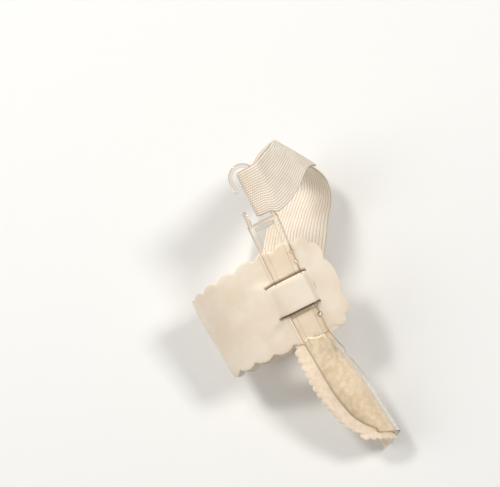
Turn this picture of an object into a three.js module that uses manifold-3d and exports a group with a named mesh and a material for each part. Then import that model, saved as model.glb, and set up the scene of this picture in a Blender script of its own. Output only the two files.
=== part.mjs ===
// Bunion corrector for a left foot: clear toe splint, lined toe gutter, foot cuff and elastic strap.
// Millimetres. +Z is up off the top of the foot, -Y points to the toes, +X to the outer side.
// The origin is the middle of the hollow that the ball of the foot fills.
import * as THREE from 'three';
import { mergeVertices } from 'three/addons/utils/BufferGeometryUtils.js';
import Module from 'manifold-3d';

const wasm = await Module();
wasm.setup();

// Hollow for the foot
const BALL_WIDTH = 94;
const BALL_HEIGHT = 39;
const INSTEP_SLOPE = 18;

// Splint
const SPLINT_X = -7;
const SPLINT_THICKNESS = 1.8;
const WEB_THICKNESS = 1.1;
const RAIL_WIDTH = 2.1;
const BAR_WIDTH = 12.6;
const HOOK_REACH = 64.5;
const HOOK_WIDTH = 12.8;
const HOOK_MOUTH = 9.4;
const WINDOW_LENGTH = 25.5;
const NUB_RADIUS = 1.0;
const NUB_PITCH = 5.3;
const NUB_COUNT = 7;
const NUB_STAND = 0.7;
const HEEL_NUB_Y = 18.1;
const BLADE_TAIL = 12;
const BLADE_FLARE = 0.6;
const RING_X = 3.5;
const LIP_OVER_WINDOW = 6.6;
const EDGE_BEVEL = 0.3;

// Toe gutter
const GUTTER_REACH = 89.5;
const GUTTER_RADIUS = 14;
const TOE_TOP_FLATNESS = 2;
const SHELL_THICKNESS = 1.2;
const PADDING_THICKNESS = 1.2;
const PADDING_INSET = 0.8;
const PADDING_WIDTH = 9.5;
const LINER_THICKNESS = 1.8;
const PINK_PITCH = 3.8;
const PINK_DEPTH = 0.7;

// Foot cuff
const CUFF_WIDTH = 41.5;
const CUFF_SIDE_WIDTH = 38.5;
const CUFF_SIDE_SHIFT = -0.5;
const CUFF_THICKNESS = 1.2;
const CUFF_DORSAL_REACH = 21;
const CUFF_SOLE_END_X = 6;
const SCALLOP_PITCH = 10;
const SCALLOP_RISE = 2.1;
const SLOT_SPACING = 14.6;
const SLOT_WIDTH = 1.4;
const SLOT_INNER_REACH = 9.6;
const SLOT_OUTER_REACH = 10.6;

// Elastic strap
const STRAP_WIDTH = 25;
const STRAP_THICKNESS = 1.3;
const STRAP_FOLD_X = 2;
const CLEARANCE = 0.3;

const RAD = Math.PI / 180;
const SOLE_Z = -BALL_HEIGHT / 2;
const BAR_Z = BALL_HEIGHT / 2;
const SLOPE = INSTEP_SLOPE * RAD;

// Numbers

function lerp(a, b, t) {
  return a + (b - a) * t;
}

function ease(t) {
  const k = Math.min(1, Math.max(0, t));
  return k * k * (3 - 2 * k);
}

// A smooth value of one column of a table, read at a place given by the key column.
function readTable(rows, key, column, at) {
  const up = rows[rows.length - 1][key] > rows[0][key] ? 1 : -1;
  let i = 0;
  while (i < rows.length - 2 && (rows[i + 1][key] - at) * up < 0) i += 1;
  const a = rows[i];
  const b = rows[i + 1];
  const span = b[key] - a[key];
  const t = Math.min(1, Math.max(0, (at - a[key]) / span));
  const before = rows[Math.max(0, i - 1)];
  const after = rows[Math.min(rows.length - 1, i + 2)];
  const slopeA = span * (b[column] - before[column]) / (b[key] - before[key]);
  const slopeB = span * (after[column] - a[column]) / (after[key] - a[key]);
  const t2 = t * t;
  const t3 = t2 * t;
  return (2 * t3 - 3 * t2 + 1) * a[column] + (t3 - 2 * t2 + t) * slopeA
    + (3 * t2 - 2 * t3) * b[column] + (t3 - t2) * slopeB;
}

// Solids

function toManifold(geometry) {
  const bare = geometry.clone();
  bare.deleteAttribute('normal');
  bare.deleteAttribute('uv');
  const merged = mergeVertices(bare, 1e-4);
  const vertProperties = new Float32Array(merged.attributes.position.array);
  const triVerts = new Uint32Array(merged.index.array);
  return new wasm.Manifold(new wasm.Mesh({ numProp: 3, vertProperties, triVerts }));
}

function toGeometry(manifold) {
  const mesh = manifold.getMesh();
  const geometry = new THREE.BufferGeometry();
  geometry.setAttribute('position', new THREE.BufferAttribute(mesh.vertProperties, 3));
  geometry.setIndex(new THREE.BufferAttribute(mesh.triVerts, 1));
  geometry.computeVertexNormals();
  return geometry;
}

// Gives a sheet its thickness: the faces lie half of it either side of the middle surface,
// and a wall closes every free edge, also round a slot.
function thicken(points, normals, triangles, thickness) {
  const count = points.length;
  const position = new Float32Array(count * 6);
  for (let i = 0; i < count; i += 1) {
    const upper = points[i].clone().addScaledVector(normals[i], thickness / 2);
    const lower = points[i].clone().addScaledVector(normals[i], -thickness / 2);
    upper.toArray(position, i * 3);
    lower.toArray(position, (count + i) * 3);
  }
  const edges = new Map();
  for (const [a, b, c] of triangles) {
    for (const [from, to] of [[a, b], [b, c], [c, a]]) {
      const opposite = `${to}_${from}`;
      if (edges.has(opposite)) edges.delete(opposite);
      else edges.set(`${from}_${to}`, [from, to]);
    }
  }
  const index = [];
  for (const [a, b, c] of triangles) {
    index.push(a, b, c);
    index.push(count + a, count + c, count + b);
  }
  for (const [from, to] of edges.values()) {
    index.push(from, count + from, to);
    index.push(to, count + from, count + to);
  }
  const geometry = new THREE.BufferGeometry();
  geometry.setAttribute('position', new THREE.BufferAttribute(position, 3));
  geometry.setIndex(index);
  geometry.computeVertexNormals();
  return geometry;
}

// A sheet on a grid of rows by columns, whose middle surface is given by a function.
function gridSheet(columns, rows, place, thickness) {
  const points = [];
  const normals = [];
  for (let i = 0; i <= columns; i += 1) {
    for (let j = 0; j <= rows; j += 1) {
      const { point, normal } = place(i / columns, j / rows);
      points.push(point);
      normals.push(normal);
    }
  }
  const triangles = [];
  for (let i = 0; i < columns; i += 1) {
    for (let j = 0; j < rows; j += 1) {
      const a = i * (rows + 1) + j;
      const b = a + rows + 1;
      triangles.push([a, b, b + 1]);
      triangles.push([a, b + 1, a + 1]);
    }
  }
  return thicken(points, normals, triangles, thickness);
}

// The foot's form, which the cuff and the strap lie on

// Heights are shares of the ball's height over the sole, sideways places are shares of its width.
const FOOT_SECTIONS = [
  { y: -34, inner: -0.49, outer: 0.50, crest: -0.10, top: 0.70, innerRise: 0.36, outerRise: 0.26, shoulder: 0.27 },
  { y: -14, inner: -0.512, outer: 0.51, crest: -0.10, top: 0.885, innerRise: 0.42, outerRise: 0.27, shoulder: 0.27 },
  { y: 0, inner: -0.522, outer: 0.50, crest: -0.10, top: 1.0, innerRise: 0.45, outerRise: 0.29, shoulder: 0.27 },
  { y: 14, inner: -0.532, outer: 0.47, crest: -0.11, top: 1.117, innerRise: 0.48, outerRise: 0.30, shoulder: 0.25 },
  { y: 32, inner: -0.53, outer: 0.385, crest: -0.12, top: 1.24, innerRise: 0.50, outerRise: 0.30, shoulder: 0.19 },
  { y: 50, inner: -0.56, outer: 0.325, crest: -0.13, top: 1.375, innerRise: 0.52, outerRise: 0.32, shoulder: 0.13 },
  { y: 74, inner: -0.58, outer: 0.165, crest: -0.14, top: 1.60, innerRise: 0.54, outerRise: 0.36, shoulder: 0.12 },
];
const FORM_STEP = 2;
const FORM_REACH = 150;
const SECTION_SAMPLES = 480;

// One section of the form as a closed smooth curve through eight places.
function sectionCurve(y) {
  const read = (column) => readTable(FOOT_SECTIONS, 'y', column, y);
  const inner = read('inner') * BALL_WIDTH;
  const outer = read('outer') * BALL_WIDTH;
  const crest = read('crest') * BALL_WIDTH;
  const top = SOLE_Z + read('top') * BALL_HEIGHT;
  const innerZ = SOLE_Z + read('innerRise') * BALL_HEIGHT;
  const outerZ = SOLE_Z + read('outerRise') * BALL_HEIGHT;
  const places = [
    [crest, top],
    [lerp(crest, outer, 0.52), lerp(top, outerZ, read('shoulder'))],
    [outer, outerZ],
    [lerp(outer, crest, 0.2), SOLE_Z],
    [lerp(outer, inner, 0.5), SOLE_Z],
    [lerp(inner, crest, 0.3), SOLE_Z],
    [inner, innerZ],
    [lerp(inner, crest, 0.36), lerp(top, innerZ, 0.2)],
  ];
  const points = places.map(([x, z]) => new THREE.Vector3(x, y, z));
  return new THREE.CatmullRomCurve3(points, true, 'centripetal');
}

// A section's places at even steps of girth, from the splint's line outward and inward.
function sectionTable(y) {
  const curve = sectionCurve(y);
  const fine = curve.getSpacedPoints(SECTION_SAMPLES);
  const girth = curve.getLength();
  const step = girth / SECTION_SAMPLES;
  let start = 0;
  for (let i = 0; i < SECTION_SAMPLES; i += 1) {
    const nearer = Math.abs(fine[i].x - SPLINT_X) < Math.abs(fine[start].x - SPLINT_X);
    if (fine[i].z > 0 && nearer) start = i;
  }
  const shift = (fine[start].x - SPLINT_X) / step;
  const places = [];
  for (let s = -FORM_REACH; s <= FORM_REACH; s += FORM_STEP) {
    const at = (((start - shift + s / step) % SECTION_SAMPLES) + SECTION_SAMPLES) % SECTION_SAMPLES;
    const i = Math.floor(at);
    places.push(fine[i].clone().lerp(fine[(i + 1) % SECTION_SAMPLES], at - i));
  }
  return places;
}

const FORM_START_Y = FOOT_SECTIONS[0].y;
const FORM_TABLES = [];
for (let y = FORM_START_Y; y <= FOOT_SECTIONS[FOOT_SECTIONS.length - 1].y; y += FORM_STEP) {
  FORM_TABLES.push(sectionTable(y));
}

// The form's surface at a girth s from the splint's line and a place y along the foot.
function formPoint(s, y) {
  const row = Math.min(FORM_TABLES.length - 1.001, Math.max(0, (y - FORM_START_Y) / FORM_STEP));
  const last = FORM_TABLES[0].length - 1.001;
  const column = Math.min(last, Math.max(0, (s + FORM_REACH) / FORM_STEP));
  const i = Math.floor(row);
  const j = Math.floor(column);
  const low = FORM_TABLES[i][j].clone().lerp(FORM_TABLES[i][j + 1], column - j);
  const high = FORM_TABLES[i + 1][j].clone().lerp(FORM_TABLES[i + 1][j + 1], column - j);
  return low.lerp(high, row - i);
}

// The outward normal, read over a step wide enough to run smoothly round the form.
function formNormal(s, y) {
  const along = formPoint(s, y + 3).sub(formPoint(s, y - 3));
  const around = formPoint(s + 3, y).sub(formPoint(s - 3, y));
  return around.cross(along).normalize();
}

// The girth, inward of the splint's line, at which the sole at y reaches x.
function soleGirth(x, y) {
  let s = -FORM_REACH;
  while (formPoint(s, y).x > x || formPoint(s, y).z > 0) s += 1;
  const here = formPoint(s, y).x;
  return s - (x - here) / (here - formPoint(s - 1, y).x);
}

// The splint's own plane: x outward and y heelward from the bridge, h up off the plane.
const BAR_ALONG = new THREE.Vector3(0, Math.cos(SLOPE), Math.sin(SLOPE));
const BAR_UP = new THREE.Vector3(0, -Math.sin(SLOPE), Math.cos(SLOPE));

function onBar(x, y, h) {
  return new THREE.Vector3(SPLINT_X + x, 0, BAR_Z)
    .addScaledVector(BAR_ALONG, y)
    .addScaledVector(BAR_UP, h);
}

// Foot cuff

const BRIDGE_LIFT = (SPLINT_THICKNESS + CUFF_THICKNESS) / 2 + CLEARANCE;
const BAR_INNER_X = -4.4;
const BAR_OUTER_X = BAR_INNER_X + BAR_WIDTH;

// From this girth on, the band on the sole turns until its end lies square to the foot.
const SQUARING_GIRTH = -70;
// The band reaches its narrower width within this girth from the slots.
const SIDE_GIRTH = 32;

// How far the leather at x gives way to the splint: 1 against it, 0 past the ends of the slots.
function yieldAt(x) {
  const inner = (x + SLOT_INNER_REACH) / (BAR_INNER_X - CLEARANCE + SLOT_INNER_REACH);
  const outer = (SLOT_OUTER_REACH - x) / (SLOT_OUTER_REACH - BAR_OUTER_X - CLEARANCE);
  return Math.min(ease(inner), Math.min(1, Math.max(0, outer)));
}

// The cuff's middle surface at a girth s from the splint's line and v across the band.
function cuffPlace(along, across, bridge) {
  const aside = ease((-along - SLOT_INNER_REACH) / SIDE_GIRTH);
  const v = across * lerp(1, CUFF_SIDE_WIDTH / CUFF_WIDTH, aside);
  const stretch = formPoint(along, 1).distanceTo(formPoint(along, -1)) / 2;
  const y = v / stretch - CUFF_SIDE_SHIFT * aside;
  const end = soleGirth(CUFF_SOLE_END_X, 0);
  const square = ease((along - SQUARING_GIRTH) / (end - SQUARING_GIRTH));
  const s = along + square * (soleGirth(CUFF_SOLE_END_X, y) - end);
  const point = formPoint(s, y);
  const normal = formNormal(s, y);
  const hold = yieldAt(along);
  const flat = onBar(along, v, (bridge ? 1 : -1) * BRIDGE_LIFT);
  point.lerp(flat, hold);
  normal.lerp(BAR_UP, hold).normalize();
  return { point, normal };
}

// The rise of the scalloped edge over its valleys, at a length along the edge.
function scallop(length) {
  const t = length / SCALLOP_PITCH - Math.floor(length / SCALLOP_PITCH);
  return SCALLOP_RISE * 4 * t * (1 - t);
}

function buildCuff() {
  const half = CUFF_WIDTH / 2;
  const stepsPerScallop = 5;
  const step = SCALLOP_PITCH / stepsPerScallop;
  const endGirth = soleGirth(CUFF_SOLE_END_X, 0);
  const slotIn = SLOT_SPACING / 2 - SLOT_WIDTH / 2;
  const slotOut = SLOT_SPACING / 2 + SLOT_WIDTH / 2;
  const points = [];
  const normals = [];
  const triangles = [];
  const lookup = new Map();

  function vertex(s, v, bridge) {
    const key = `${s.toFixed(4)}_${v.toFixed(4)}_${bridge && yieldAt(s) > 0}`;
    if (!lookup.has(key)) {
      const { point, normal } = cuffPlace(s, v, bridge);
      lookup.set(key, points.length);
      points.push(point);
      normals.push(normal);
    }
    return lookup.get(key);
  }

  function quad(a, b, c, d) {
    triangles.push([a, b, c]);
    triangles.push([a, c, d]);
  }

  // Stations along the band, from past the slots inward round the foot to the sole.
  const columns = [SLOT_OUTER_REACH];
  const heldOuter = BAR_OUTER_X + CLEARANCE;
  const heldInner = BAR_INNER_X - CLEARANCE;
  const overBar = 5;
  for (let i = 0; i <= overBar; i += 1) {
    columns.push(lerp(heldOuter, heldInner, i / overBar));
  }
  columns.push(lerp(heldInner, -SLOT_INNER_REACH, 0.33));
  columns.push(lerp(heldInner, -SLOT_INNER_REACH, 0.67));
  columns.push(-SLOT_INNER_REACH);
  const around = Math.ceil((-SLOT_INNER_REACH - endGirth) / step);
  for (let i = 1; i <= around; i += 1) {
    columns.push(lerp(-SLOT_INNER_REACH, endGirth, i / around));
  }

  // Places across the band: the two slots keep theirs and the rest follows the edge.
  function across(edge) {
    const outside = [slotOut, lerp(slotOut, edge, 0.5), edge];
    return [...outside.map((v) => -v).reverse(), -slotIn, 0, slotIn, ...outside];
  }

  const slotCells = [2, 5];
  for (let i = 0; i < columns.length - 1; i += 1) {
    const a = across(half + scallop(SLOT_OUTER_REACH - columns[i]));
    const b = across(half + scallop(SLOT_OUTER_REACH - columns[i + 1]));
    const open = columns[i] > -SLOT_INNER_REACH + 0.01;
    for (let j = 0; j < a.length - 1; j += 1) {
      if (open && slotCells.includes(j)) continue;
      const bridge = j > slotCells[0] && j < slotCells[1];
      quad(
        vertex(columns[i], a[j], bridge),
        vertex(columns[i], a[j + 1], bridge),
        vertex(columns[i + 1], b[j + 1], bridge),
        vertex(columns[i + 1], b[j], bridge),
      );
    }
  }

  // The rounded end fans out from the line past the slots.
  const rays = 30;
  const reach = CUFF_DORSAL_REACH - SLOT_OUTER_REACH;
  const lobes = Math.round((half + reach * 2) / SCALLOP_PITCH) + 1;
  const first = across(half);
  const shares = [slotIn / half, slotOut / half, lerp(slotOut, half, 0.5) / half, 1];
  function rayPlace(k, share) {
    if (k === 0 || k === rays) {
      const order = k === 0 ? [5, 6, 7, 8] : [3, 2, 1, 0];
      const v = first[order[shares.indexOf(share)]];
      return [SLOT_OUTER_REACH, v];
    }
    const angle = Math.PI * (0.5 - k / rays);
    const squareness = 0.72;
    const c = Math.sign(Math.cos(angle)) * Math.abs(Math.cos(angle)) ** squareness;
    const d = Math.sign(Math.sin(angle)) * Math.abs(Math.sin(angle)) ** squareness;
    const rise = scallop(k / rays * lobes * SCALLOP_PITCH) * share;
    const s = SLOT_OUTER_REACH + reach * c * share + rise * c;
    return [s, half * d * share + rise * d];
  }
  const centre = vertex(SLOT_OUTER_REACH, 0, false);
  for (let k = 0; k < rays; k += 1) {
    const a = shares.map((share) => vertex(...rayPlace(k, share), false));
    const b = shares.map((share) => vertex(...rayPlace(k + 1, share), false));
    triangles.push([centre, b[0], a[0]]);
    for (let j = 0; j < shares.length - 1; j += 1) {
      quad(a[j], b[j], b[j + 1], a[j + 1]);
    }
  }
  return thicken(points, normals, triangles, CUFF_THICKNESS);
}


// Elastic strap

// Stations along the strap: it starts sewn under the cuff's end, comes up round the outer side,
// goes through the hook's window, folds back over the bar and lies on itself.
// bar: place x and height h on the splint's plane. form: girth s, place y and height h on the foot.
const UNDER = (SPLINT_THICKNESS + STRAP_THICKNESS) / 2 + 1.5 * CLEARANCE;
const LAID = STRAP_THICKNESS / 2 + 0.1;
const DOUBLED = LAID + STRAP_THICKNESS + CLEARANCE;
const SEWN = (CUFF_THICKNESS + STRAP_THICKNESS) / 2 + CLEARANCE;
const STRAP_LINE_Y = 50;
const STRAP_COURSE = [
  { on: 'form', s: 113, y: 16, h: SEWN, width: 1 },
  { on: 'form', s: 104, y: 24, h: SEWN, width: 1 },
  { on: 'form', s: 95, y: 32, h: SEWN, width: 1 },
  { on: 'form', s: 86, y: 40, h: LAID, width: 1 },
  { on: 'form', s: 76, y: 48, h: LAID, width: 1 },
  { on: 'form', s: 67, y: 55.5, h: LAID, width: 0.96 },
  { on: 'form', s: 57, y: 61, h: LAID, width: 0.86 },
  { on: 'form', s: 46.5, y: 61.5, h: LAID, width: 0.84 },
  { on: 'form', s: 37, y: 59.4, h: LAID, width: 0.79 },
  { on: 'form', s: 28, y: 55.7, h: LAID, width: 0.76 },
  { on: 'form', s: 20.5, y: 52.1, h: LAID, width: 0.89 },
  { on: 'bar', x: 11, y: 49.5, h: -UNDER, width: 0.94 },
  { on: 'bar', x: 8, y: 50, h: -UNDER, width: 0.86 },
  { on: 'bar', x: 4.5, y: 50, h: -UNDER, width: 0.86 },
];
const STRAP_RETURN = [
  { on: 'bar', x: 5, y: 50, h: UNDER, width: 0.86 },
  { on: 'bar', x: 8, y: 50, h: UNDER, width: 0.87 },
  { on: 'bar', x: 11.5, y: 49.4, h: UNDER, width: 0.96 },
  { on: 'form', s: 21, y: 52.1, h: DOUBLED, width: 0.89 },
  { on: 'form', s: 28, y: 55.7, h: DOUBLED, width: 0.76 },
  { on: 'form', s: 37, y: 59.4, h: DOUBLED, width: 0.79 },
  { on: 'form', s: 46.5, y: 61.5, h: DOUBLED, width: 0.84 },
  { on: 'form', s: 56, y: 61.2, h: DOUBLED, width: 0.84 },
];
const FOLD_STEPS = 8;
const FOLD_WIDTH = 0.85;

// A place on a station, w across the strap from its middle, square to the way it runs.
function strapPlace(station, way, w) {
  if (station.on === 'bar') return onBar(station.x, station.y + w, station.h);
  const stretch = formPoint(station.s, station.y + 1).distanceTo(formPoint(station.s, station.y - 1)) / 2;
  const s = station.s - way.y * w;
  const y = station.y + way.x * w / stretch;
  return formPoint(s, y).addScaledVector(formNormal(s, y), station.h);
}

// The way the strap runs at a station, in girth and place along the foot, always outward.
// It is read two stations either side, so that the edges turn slowly.
function strapWay(stations, i) {
  const near = stations[Math.max(0, i - 2)];
  const next = stations[Math.min(stations.length - 1, i + 2)];
  const out = (station) => (station.on === 'bar' ? station.x : station.s);
  const way = new THREE.Vector2(out(next) - out(near), next.y - near.y).normalize();
  return way.x < 0 ? way.negate() : way;
}

function strapStations() {
  const fold = [];
  for (let i = 1; i < FOLD_STEPS; i += 1) {
    const angle = Math.PI * (0.5 + i / FOLD_STEPS);
    const x = STRAP_FOLD_X + UNDER + UNDER * Math.cos(angle);
    fold.push({ on: 'bar', x, y: STRAP_LINE_Y, h: -UNDER * Math.sin(angle), width: FOLD_WIDTH });
  }
  return [...STRAP_COURSE, ...fold, ...STRAP_RETURN];
}

function buildStrap() {
  const stations = strapStations();
  const across = 8;
  const paths = [];
  for (let j = 0; j <= across; j += 1) {
    const share = j / across - 0.5;
    const knots = stations.map((station, i) => {
      return strapPlace(station, strapWay(stations, i), share * STRAP_WIDTH * station.width);
    });
    paths.push(new THREE.CatmullRomCurve3(knots, false, 'centripetal'));
  }
  const columns = (stations.length - 1) * 2;
  const last = stations.length - 1;
  const place = (u, v) => {
    const j = Math.round(v * across);
    const t = Math.round(u * columns) / 2 / last;
    const point = paths[j].getPoint(t);
    const along = paths[j].getTangent(t);
    const beside = paths[Math.min(across, j + 1)].getPoint(t).sub(paths[Math.max(0, j - 1)].getPoint(t));
    return { point, normal: along.cross(beside).normalize() };
  };
  return gridSheet(columns, across, place, STRAP_THICKNESS);
}

// Toe gutter: shell, padding and liner on one form

// Lengths along the splint are shares of the gutter's reach, the others shares of its radius.
// crown: the line where the section is level. edge, lining: the dorsal edges. wrap: girth outward.
const GUTTER_SECTIONS = [
  { y: 0.10, crown: 0.10, bend: 0.02, edge: -0.36, lining: -0.50, wrap: 0.44, drop: 0 },
  { y: 0.18, crown: 0.09, bend: 0.05, edge: -0.35, lining: -0.52, wrap: 0.45, drop: 0 },
  { y: 0.25, crown: 0.04, bend: 0.16, edge: -0.34, lining: -0.60, wrap: 0.51, drop: 0 },
  { y: 0.30, crown: -0.04, bend: 0.40, edge: -0.32, lining: -0.75, wrap: 0.68, drop: 0 },
  { y: 0.35, crown: -0.15, bend: 0.78, edge: -0.29, lining: -0.80, wrap: 0.95, drop: 0 },
  { y: 0.42, crown: -0.19, bend: 1.0, edge: -0.265, lining: -0.82, wrap: 1.42, drop: 0 },
  { y: 0.49, crown: -0.10, bend: 1.0, edge: -0.24, lining: -0.82, wrap: 1.9, drop: 0.01 },
  { y: 0.56, crown: 0.01, bend: 1.02, edge: -0.20, lining: -0.78, wrap: 2.25, drop: 0.02 },
  { y: 0.64, crown: 0.11, bend: 1.05, edge: -0.10, lining: -0.69, wrap: 2.45, drop: 0.04 },
  { y: 0.71, crown: 0.18, bend: 1.06, edge: 0.03, lining: -0.56, wrap: 2.55, drop: 0.06 },
  { y: 0.77, crown: 0.26, bend: 1.07, edge: 0.24, lining: -0.38, wrap: 2.60, drop: 0.09 },
  { y: 0.83, crown: 0.34, bend: 1.08, edge: 0.56, lining: -0.06, wrap: 2.62, drop: 0.12 },
];
// The open end runs obliquely: it lies further out the further round the toe it goes.
const END_DORSAL_Y = 0.85;
const END_TIP_Y = 0.925;

// The padding and the liner start where the cuff's scalloped edge ends.
const LINING_START = (CUFF_WIDTH / 2 + SCALLOP_RISE + 2 * CLEARANCE) / GUTTER_REACH;
const LAYER_GAP = 1.3 * CLEARANCE;
const PADDING_DEPTH = SHELL_THICKNESS + LAYER_GAP + PADDING_THICKNESS / 2;
const LINER_DEPTH = SHELL_THICKNESS + PADDING_THICKNESS + 2 * LAYER_GAP + LINER_THICKNESS / 2;

// The gutter's form at a share of its reach and an outer girth g from the crown, at a depth.
function gutterPlace(share, g, depth) {
  const read = (column) => readTable(GUTTER_SECTIONS, 'y', column, share);
  const bend = Math.max(0.01, read('bend'));
  const radius = GUTTER_RADIUS / bend;
  const side = g < 0 ? radius * TOE_TOP_FLATNESS : radius;
  const angle = g / side;
  const outer = SPLINT_THICKNESS / 2 - read('drop') * GUTTER_RADIUS;
  const crown = read('crown') * GUTTER_RADIUS;
  const x = crown + Math.sin(angle) * (side - depth);
  const h = outer - side + Math.cos(angle) * (side - depth);
  const point = onBar(x, -share * GUTTER_REACH, h);
  const normal = new THREE.Vector3(Math.sin(angle), 0, 0).addScaledVector(BAR_UP, Math.cos(angle));
  return { point, normal };
}

// The girth from the crown at which the dorsal edge given by a column lies.
function edgeGirth(share, column) {
  const reach = (readTable(GUTTER_SECTIONS, 'y', column, share)
    - readTable(GUTTER_SECTIONS, 'y', 'crown', share)) * GUTTER_RADIUS;
  const bend = Math.max(0.01, readTable(GUTTER_SECTIONS, 'y', 'bend', share));
  const side = GUTTER_RADIUS / bend * (reach < 0 ? TOE_TOP_FLATNESS : 1);
  return side * Math.asin(Math.max(-1, Math.min(1, reach / side)));
}

// One layer of the gutter: a grid from its dorsal edge round to its plantar edge.
function buildLayer(options) {
  const { start, column, inset, depth, thickness, columns, rows, pinked, width } = options;
  const place = (u, v) => {
    const dorsalEnd = END_DORSAL_Y - inset / GUTTER_REACH;
    const plantarEnd = 1 - inset / GUTTER_REACH;
    const level = lerp(start, dorsalEnd, u);
    const inner = edgeGirth(level, column) + inset;
    const full = readTable(GUTTER_SECTIONS, 'y', 'wrap', level) * GUTTER_RADIUS - inset;
    const outer = width ? lerp(inner + width, full, ease((level - 0.25) / 0.16)) : full;
    const wave = pinked ? PINK_DEPTH * Math.cos(2 * Math.PI * level * GUTTER_REACH / PINK_PITCH) : 0;
    const g = lerp(inner - wave, outer, v);
    const lean = ease((level - 0.6) / (END_DORSAL_Y - 0.6));
    const far = lerp(END_DORSAL_Y, END_TIP_Y, Math.min(1, v * 2.4));
    const end = lerp(far, plantarEnd, ease((v - 0.35) / 0.65)) - END_DORSAL_Y;
    const placed = gutterPlace(level, g, depth);
    placed.point.addScaledVector(BAR_ALONG, -end * lean * GUTTER_REACH);
    return placed;
  };
  return gridSheet(columns, rows, place, thickness);
}

// Splint

// The flat blade: a bar with an open hook at its heel end.
function bladeShape() {
  const inner = BAR_INNER_X;
  const outer = BAR_OUTER_X;
  const ring = HOOK_WIDTH / 2;
  const ringY = HOOK_REACH - ring;
  const windowLow = HOOK_REACH - RAIL_WIDTH - WINDOW_LENGTH;
  const lipY = windowLow + LIP_OVER_WINDOW;
  const tipY = lipY + HOOK_MOUTH;
  const inside = ring - RAIL_WIDTH;
  const lip = RAIL_WIDTH / 2;
  const blade = new THREE.Shape();
  blade.moveTo(inner - BLADE_FLARE, -BLADE_TAIL);
  blade.lineTo(inner, 8);
  blade.lineTo(inner + 0.3, lipY - lip);
  blade.absarc(inner + 0.3 + lip, lipY - lip, lip, Math.PI, 0, true);
  blade.lineTo(inner + 0.3 + RAIL_WIDTH, windowLow - 1);
  blade.lineTo(RING_X + inside, windowLow + 1);
  blade.lineTo(RING_X + inside, ringY);
  blade.absarc(RING_X, ringY, inside, 0, Math.PI, false);
  blade.lineTo(RING_X - inside, tipY + lip);
  blade.absarc(RING_X - inside - lip, tipY + lip, lip, 0, Math.PI, true);
  blade.lineTo(RING_X - ring, ringY);
  blade.absarc(RING_X, ringY, ring, Math.PI, 0, true);
  blade.lineTo(RING_X + ring, windowLow);
  blade.lineTo(outer - 0.2, 8);
  blade.lineTo(outer - BLADE_FLARE, -BLADE_TAIL);
  blade.closePath();
  return blade;
}

// A flat shape of the splint's plane, h deep, from a height over the plane.
function plate(shape, depth, height) {
  const bevel = Math.min(EDGE_BEVEL, depth / 4);
  const geometry = new THREE.ExtrudeGeometry(shape, {
    depth: depth - 2 * bevel,
    curveSegments: 8,
    bevelThickness: bevel,
    bevelSize: bevel,
    bevelOffset: -bevel,
    bevelSegments: 1,
  });
  geometry.translate(0, 0, height - depth / 2 + bevel);
  return geometry;
}

// Turns what was drawn in the splint's plane onto the slope of the instep.
function tilt(geometry) {
  const turned = geometry.clone();
  turned.rotateX(SLOPE);
  turned.translate(SPLINT_X, 0, BAR_Z);
  return turned;
}

// The shallow pocket that leaves a rail along each side of the bar and runs out on the shell.
const POCKET_RUNOUT = 10;
function pocketShape() {
  const low = -BLADE_TAIL - POCKET_RUNOUT;
  const high = HOOK_REACH - RAIL_WIDTH - WINDOW_LENGTH - RAIL_WIDTH;
  const pocket = new THREE.Shape();
  pocket.moveTo(BAR_INNER_X + RAIL_WIDTH - 0.3, low);
  pocket.lineTo(BAR_INNER_X + RAIL_WIDTH, 8);
  pocket.lineTo(BAR_INNER_X + RAIL_WIDTH + 0.3, high);
  pocket.lineTo(BAR_OUTER_X - RAIL_WIDTH + 0.4, high + 1);
  pocket.lineTo(BAR_OUTER_X - RAIL_WIDTH - 0.2, 8);
  pocket.lineTo(BAR_OUTER_X - RAIL_WIDTH - 0.6, low);
  pocket.closePath();
  return pocket;
}

function buildSplint() {
  let splint = toManifold(tilt(plate(bladeShape(), SPLINT_THICKNESS, 0)));
  const pocketDepth = SPLINT_THICKNESS - WEB_THICKNESS;
  const pocket = new THREE.ExtrudeGeometry(pocketShape(), { depth: pocketDepth * 2, bevelEnabled: false });
  pocket.translate(0, 0, SPLINT_THICKNESS / 2 - pocketDepth);
  const shell = buildLayer({
    start: 0.11,
    column: 'edge',
    inset: 0,
    depth: SHELL_THICKNESS / 2,
    thickness: SHELL_THICKNESS,
    columns: 40,
    rows: 13,
  });
  splint = splint.add(toManifold(shell));
  splint = splint.subtract(toManifold(tilt(pocket)));
  for (let i = 0; i < NUB_COUNT; i += 1) {
    const y = HEEL_NUB_Y - i * NUB_PITCH;
    const hidden = Math.abs(y) < SLOT_SPACING / 2 + NUB_RADIUS;
    if (hidden) continue;
    const nub = new THREE.SphereGeometry(NUB_RADIUS, 10, 6);
    nub.scale(1, 1.5, 0.9);
    const edge = lerp(BAR_OUTER_X - BLADE_FLARE, BAR_OUTER_X, (y + BLADE_TAIL) / (HEEL_NUB_Y + BLADE_TAIL));
    nub.translate(edge + NUB_STAND - NUB_RADIUS, y, 0);
    splint = splint.add(toManifold(tilt(nub)));
  }
  return toGeometry(splint);
}

// Materials and the assembly

function material(color, roughness, options = {}) {
  return new THREE.MeshStandardMaterial({ color, roughness, metalness: 0, ...options });
}

function piece(name, geometry, dressed) {
  const mesh = new THREE.Mesh(geometry, dressed);
  mesh.name = name;
  return mesh;
}

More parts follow.
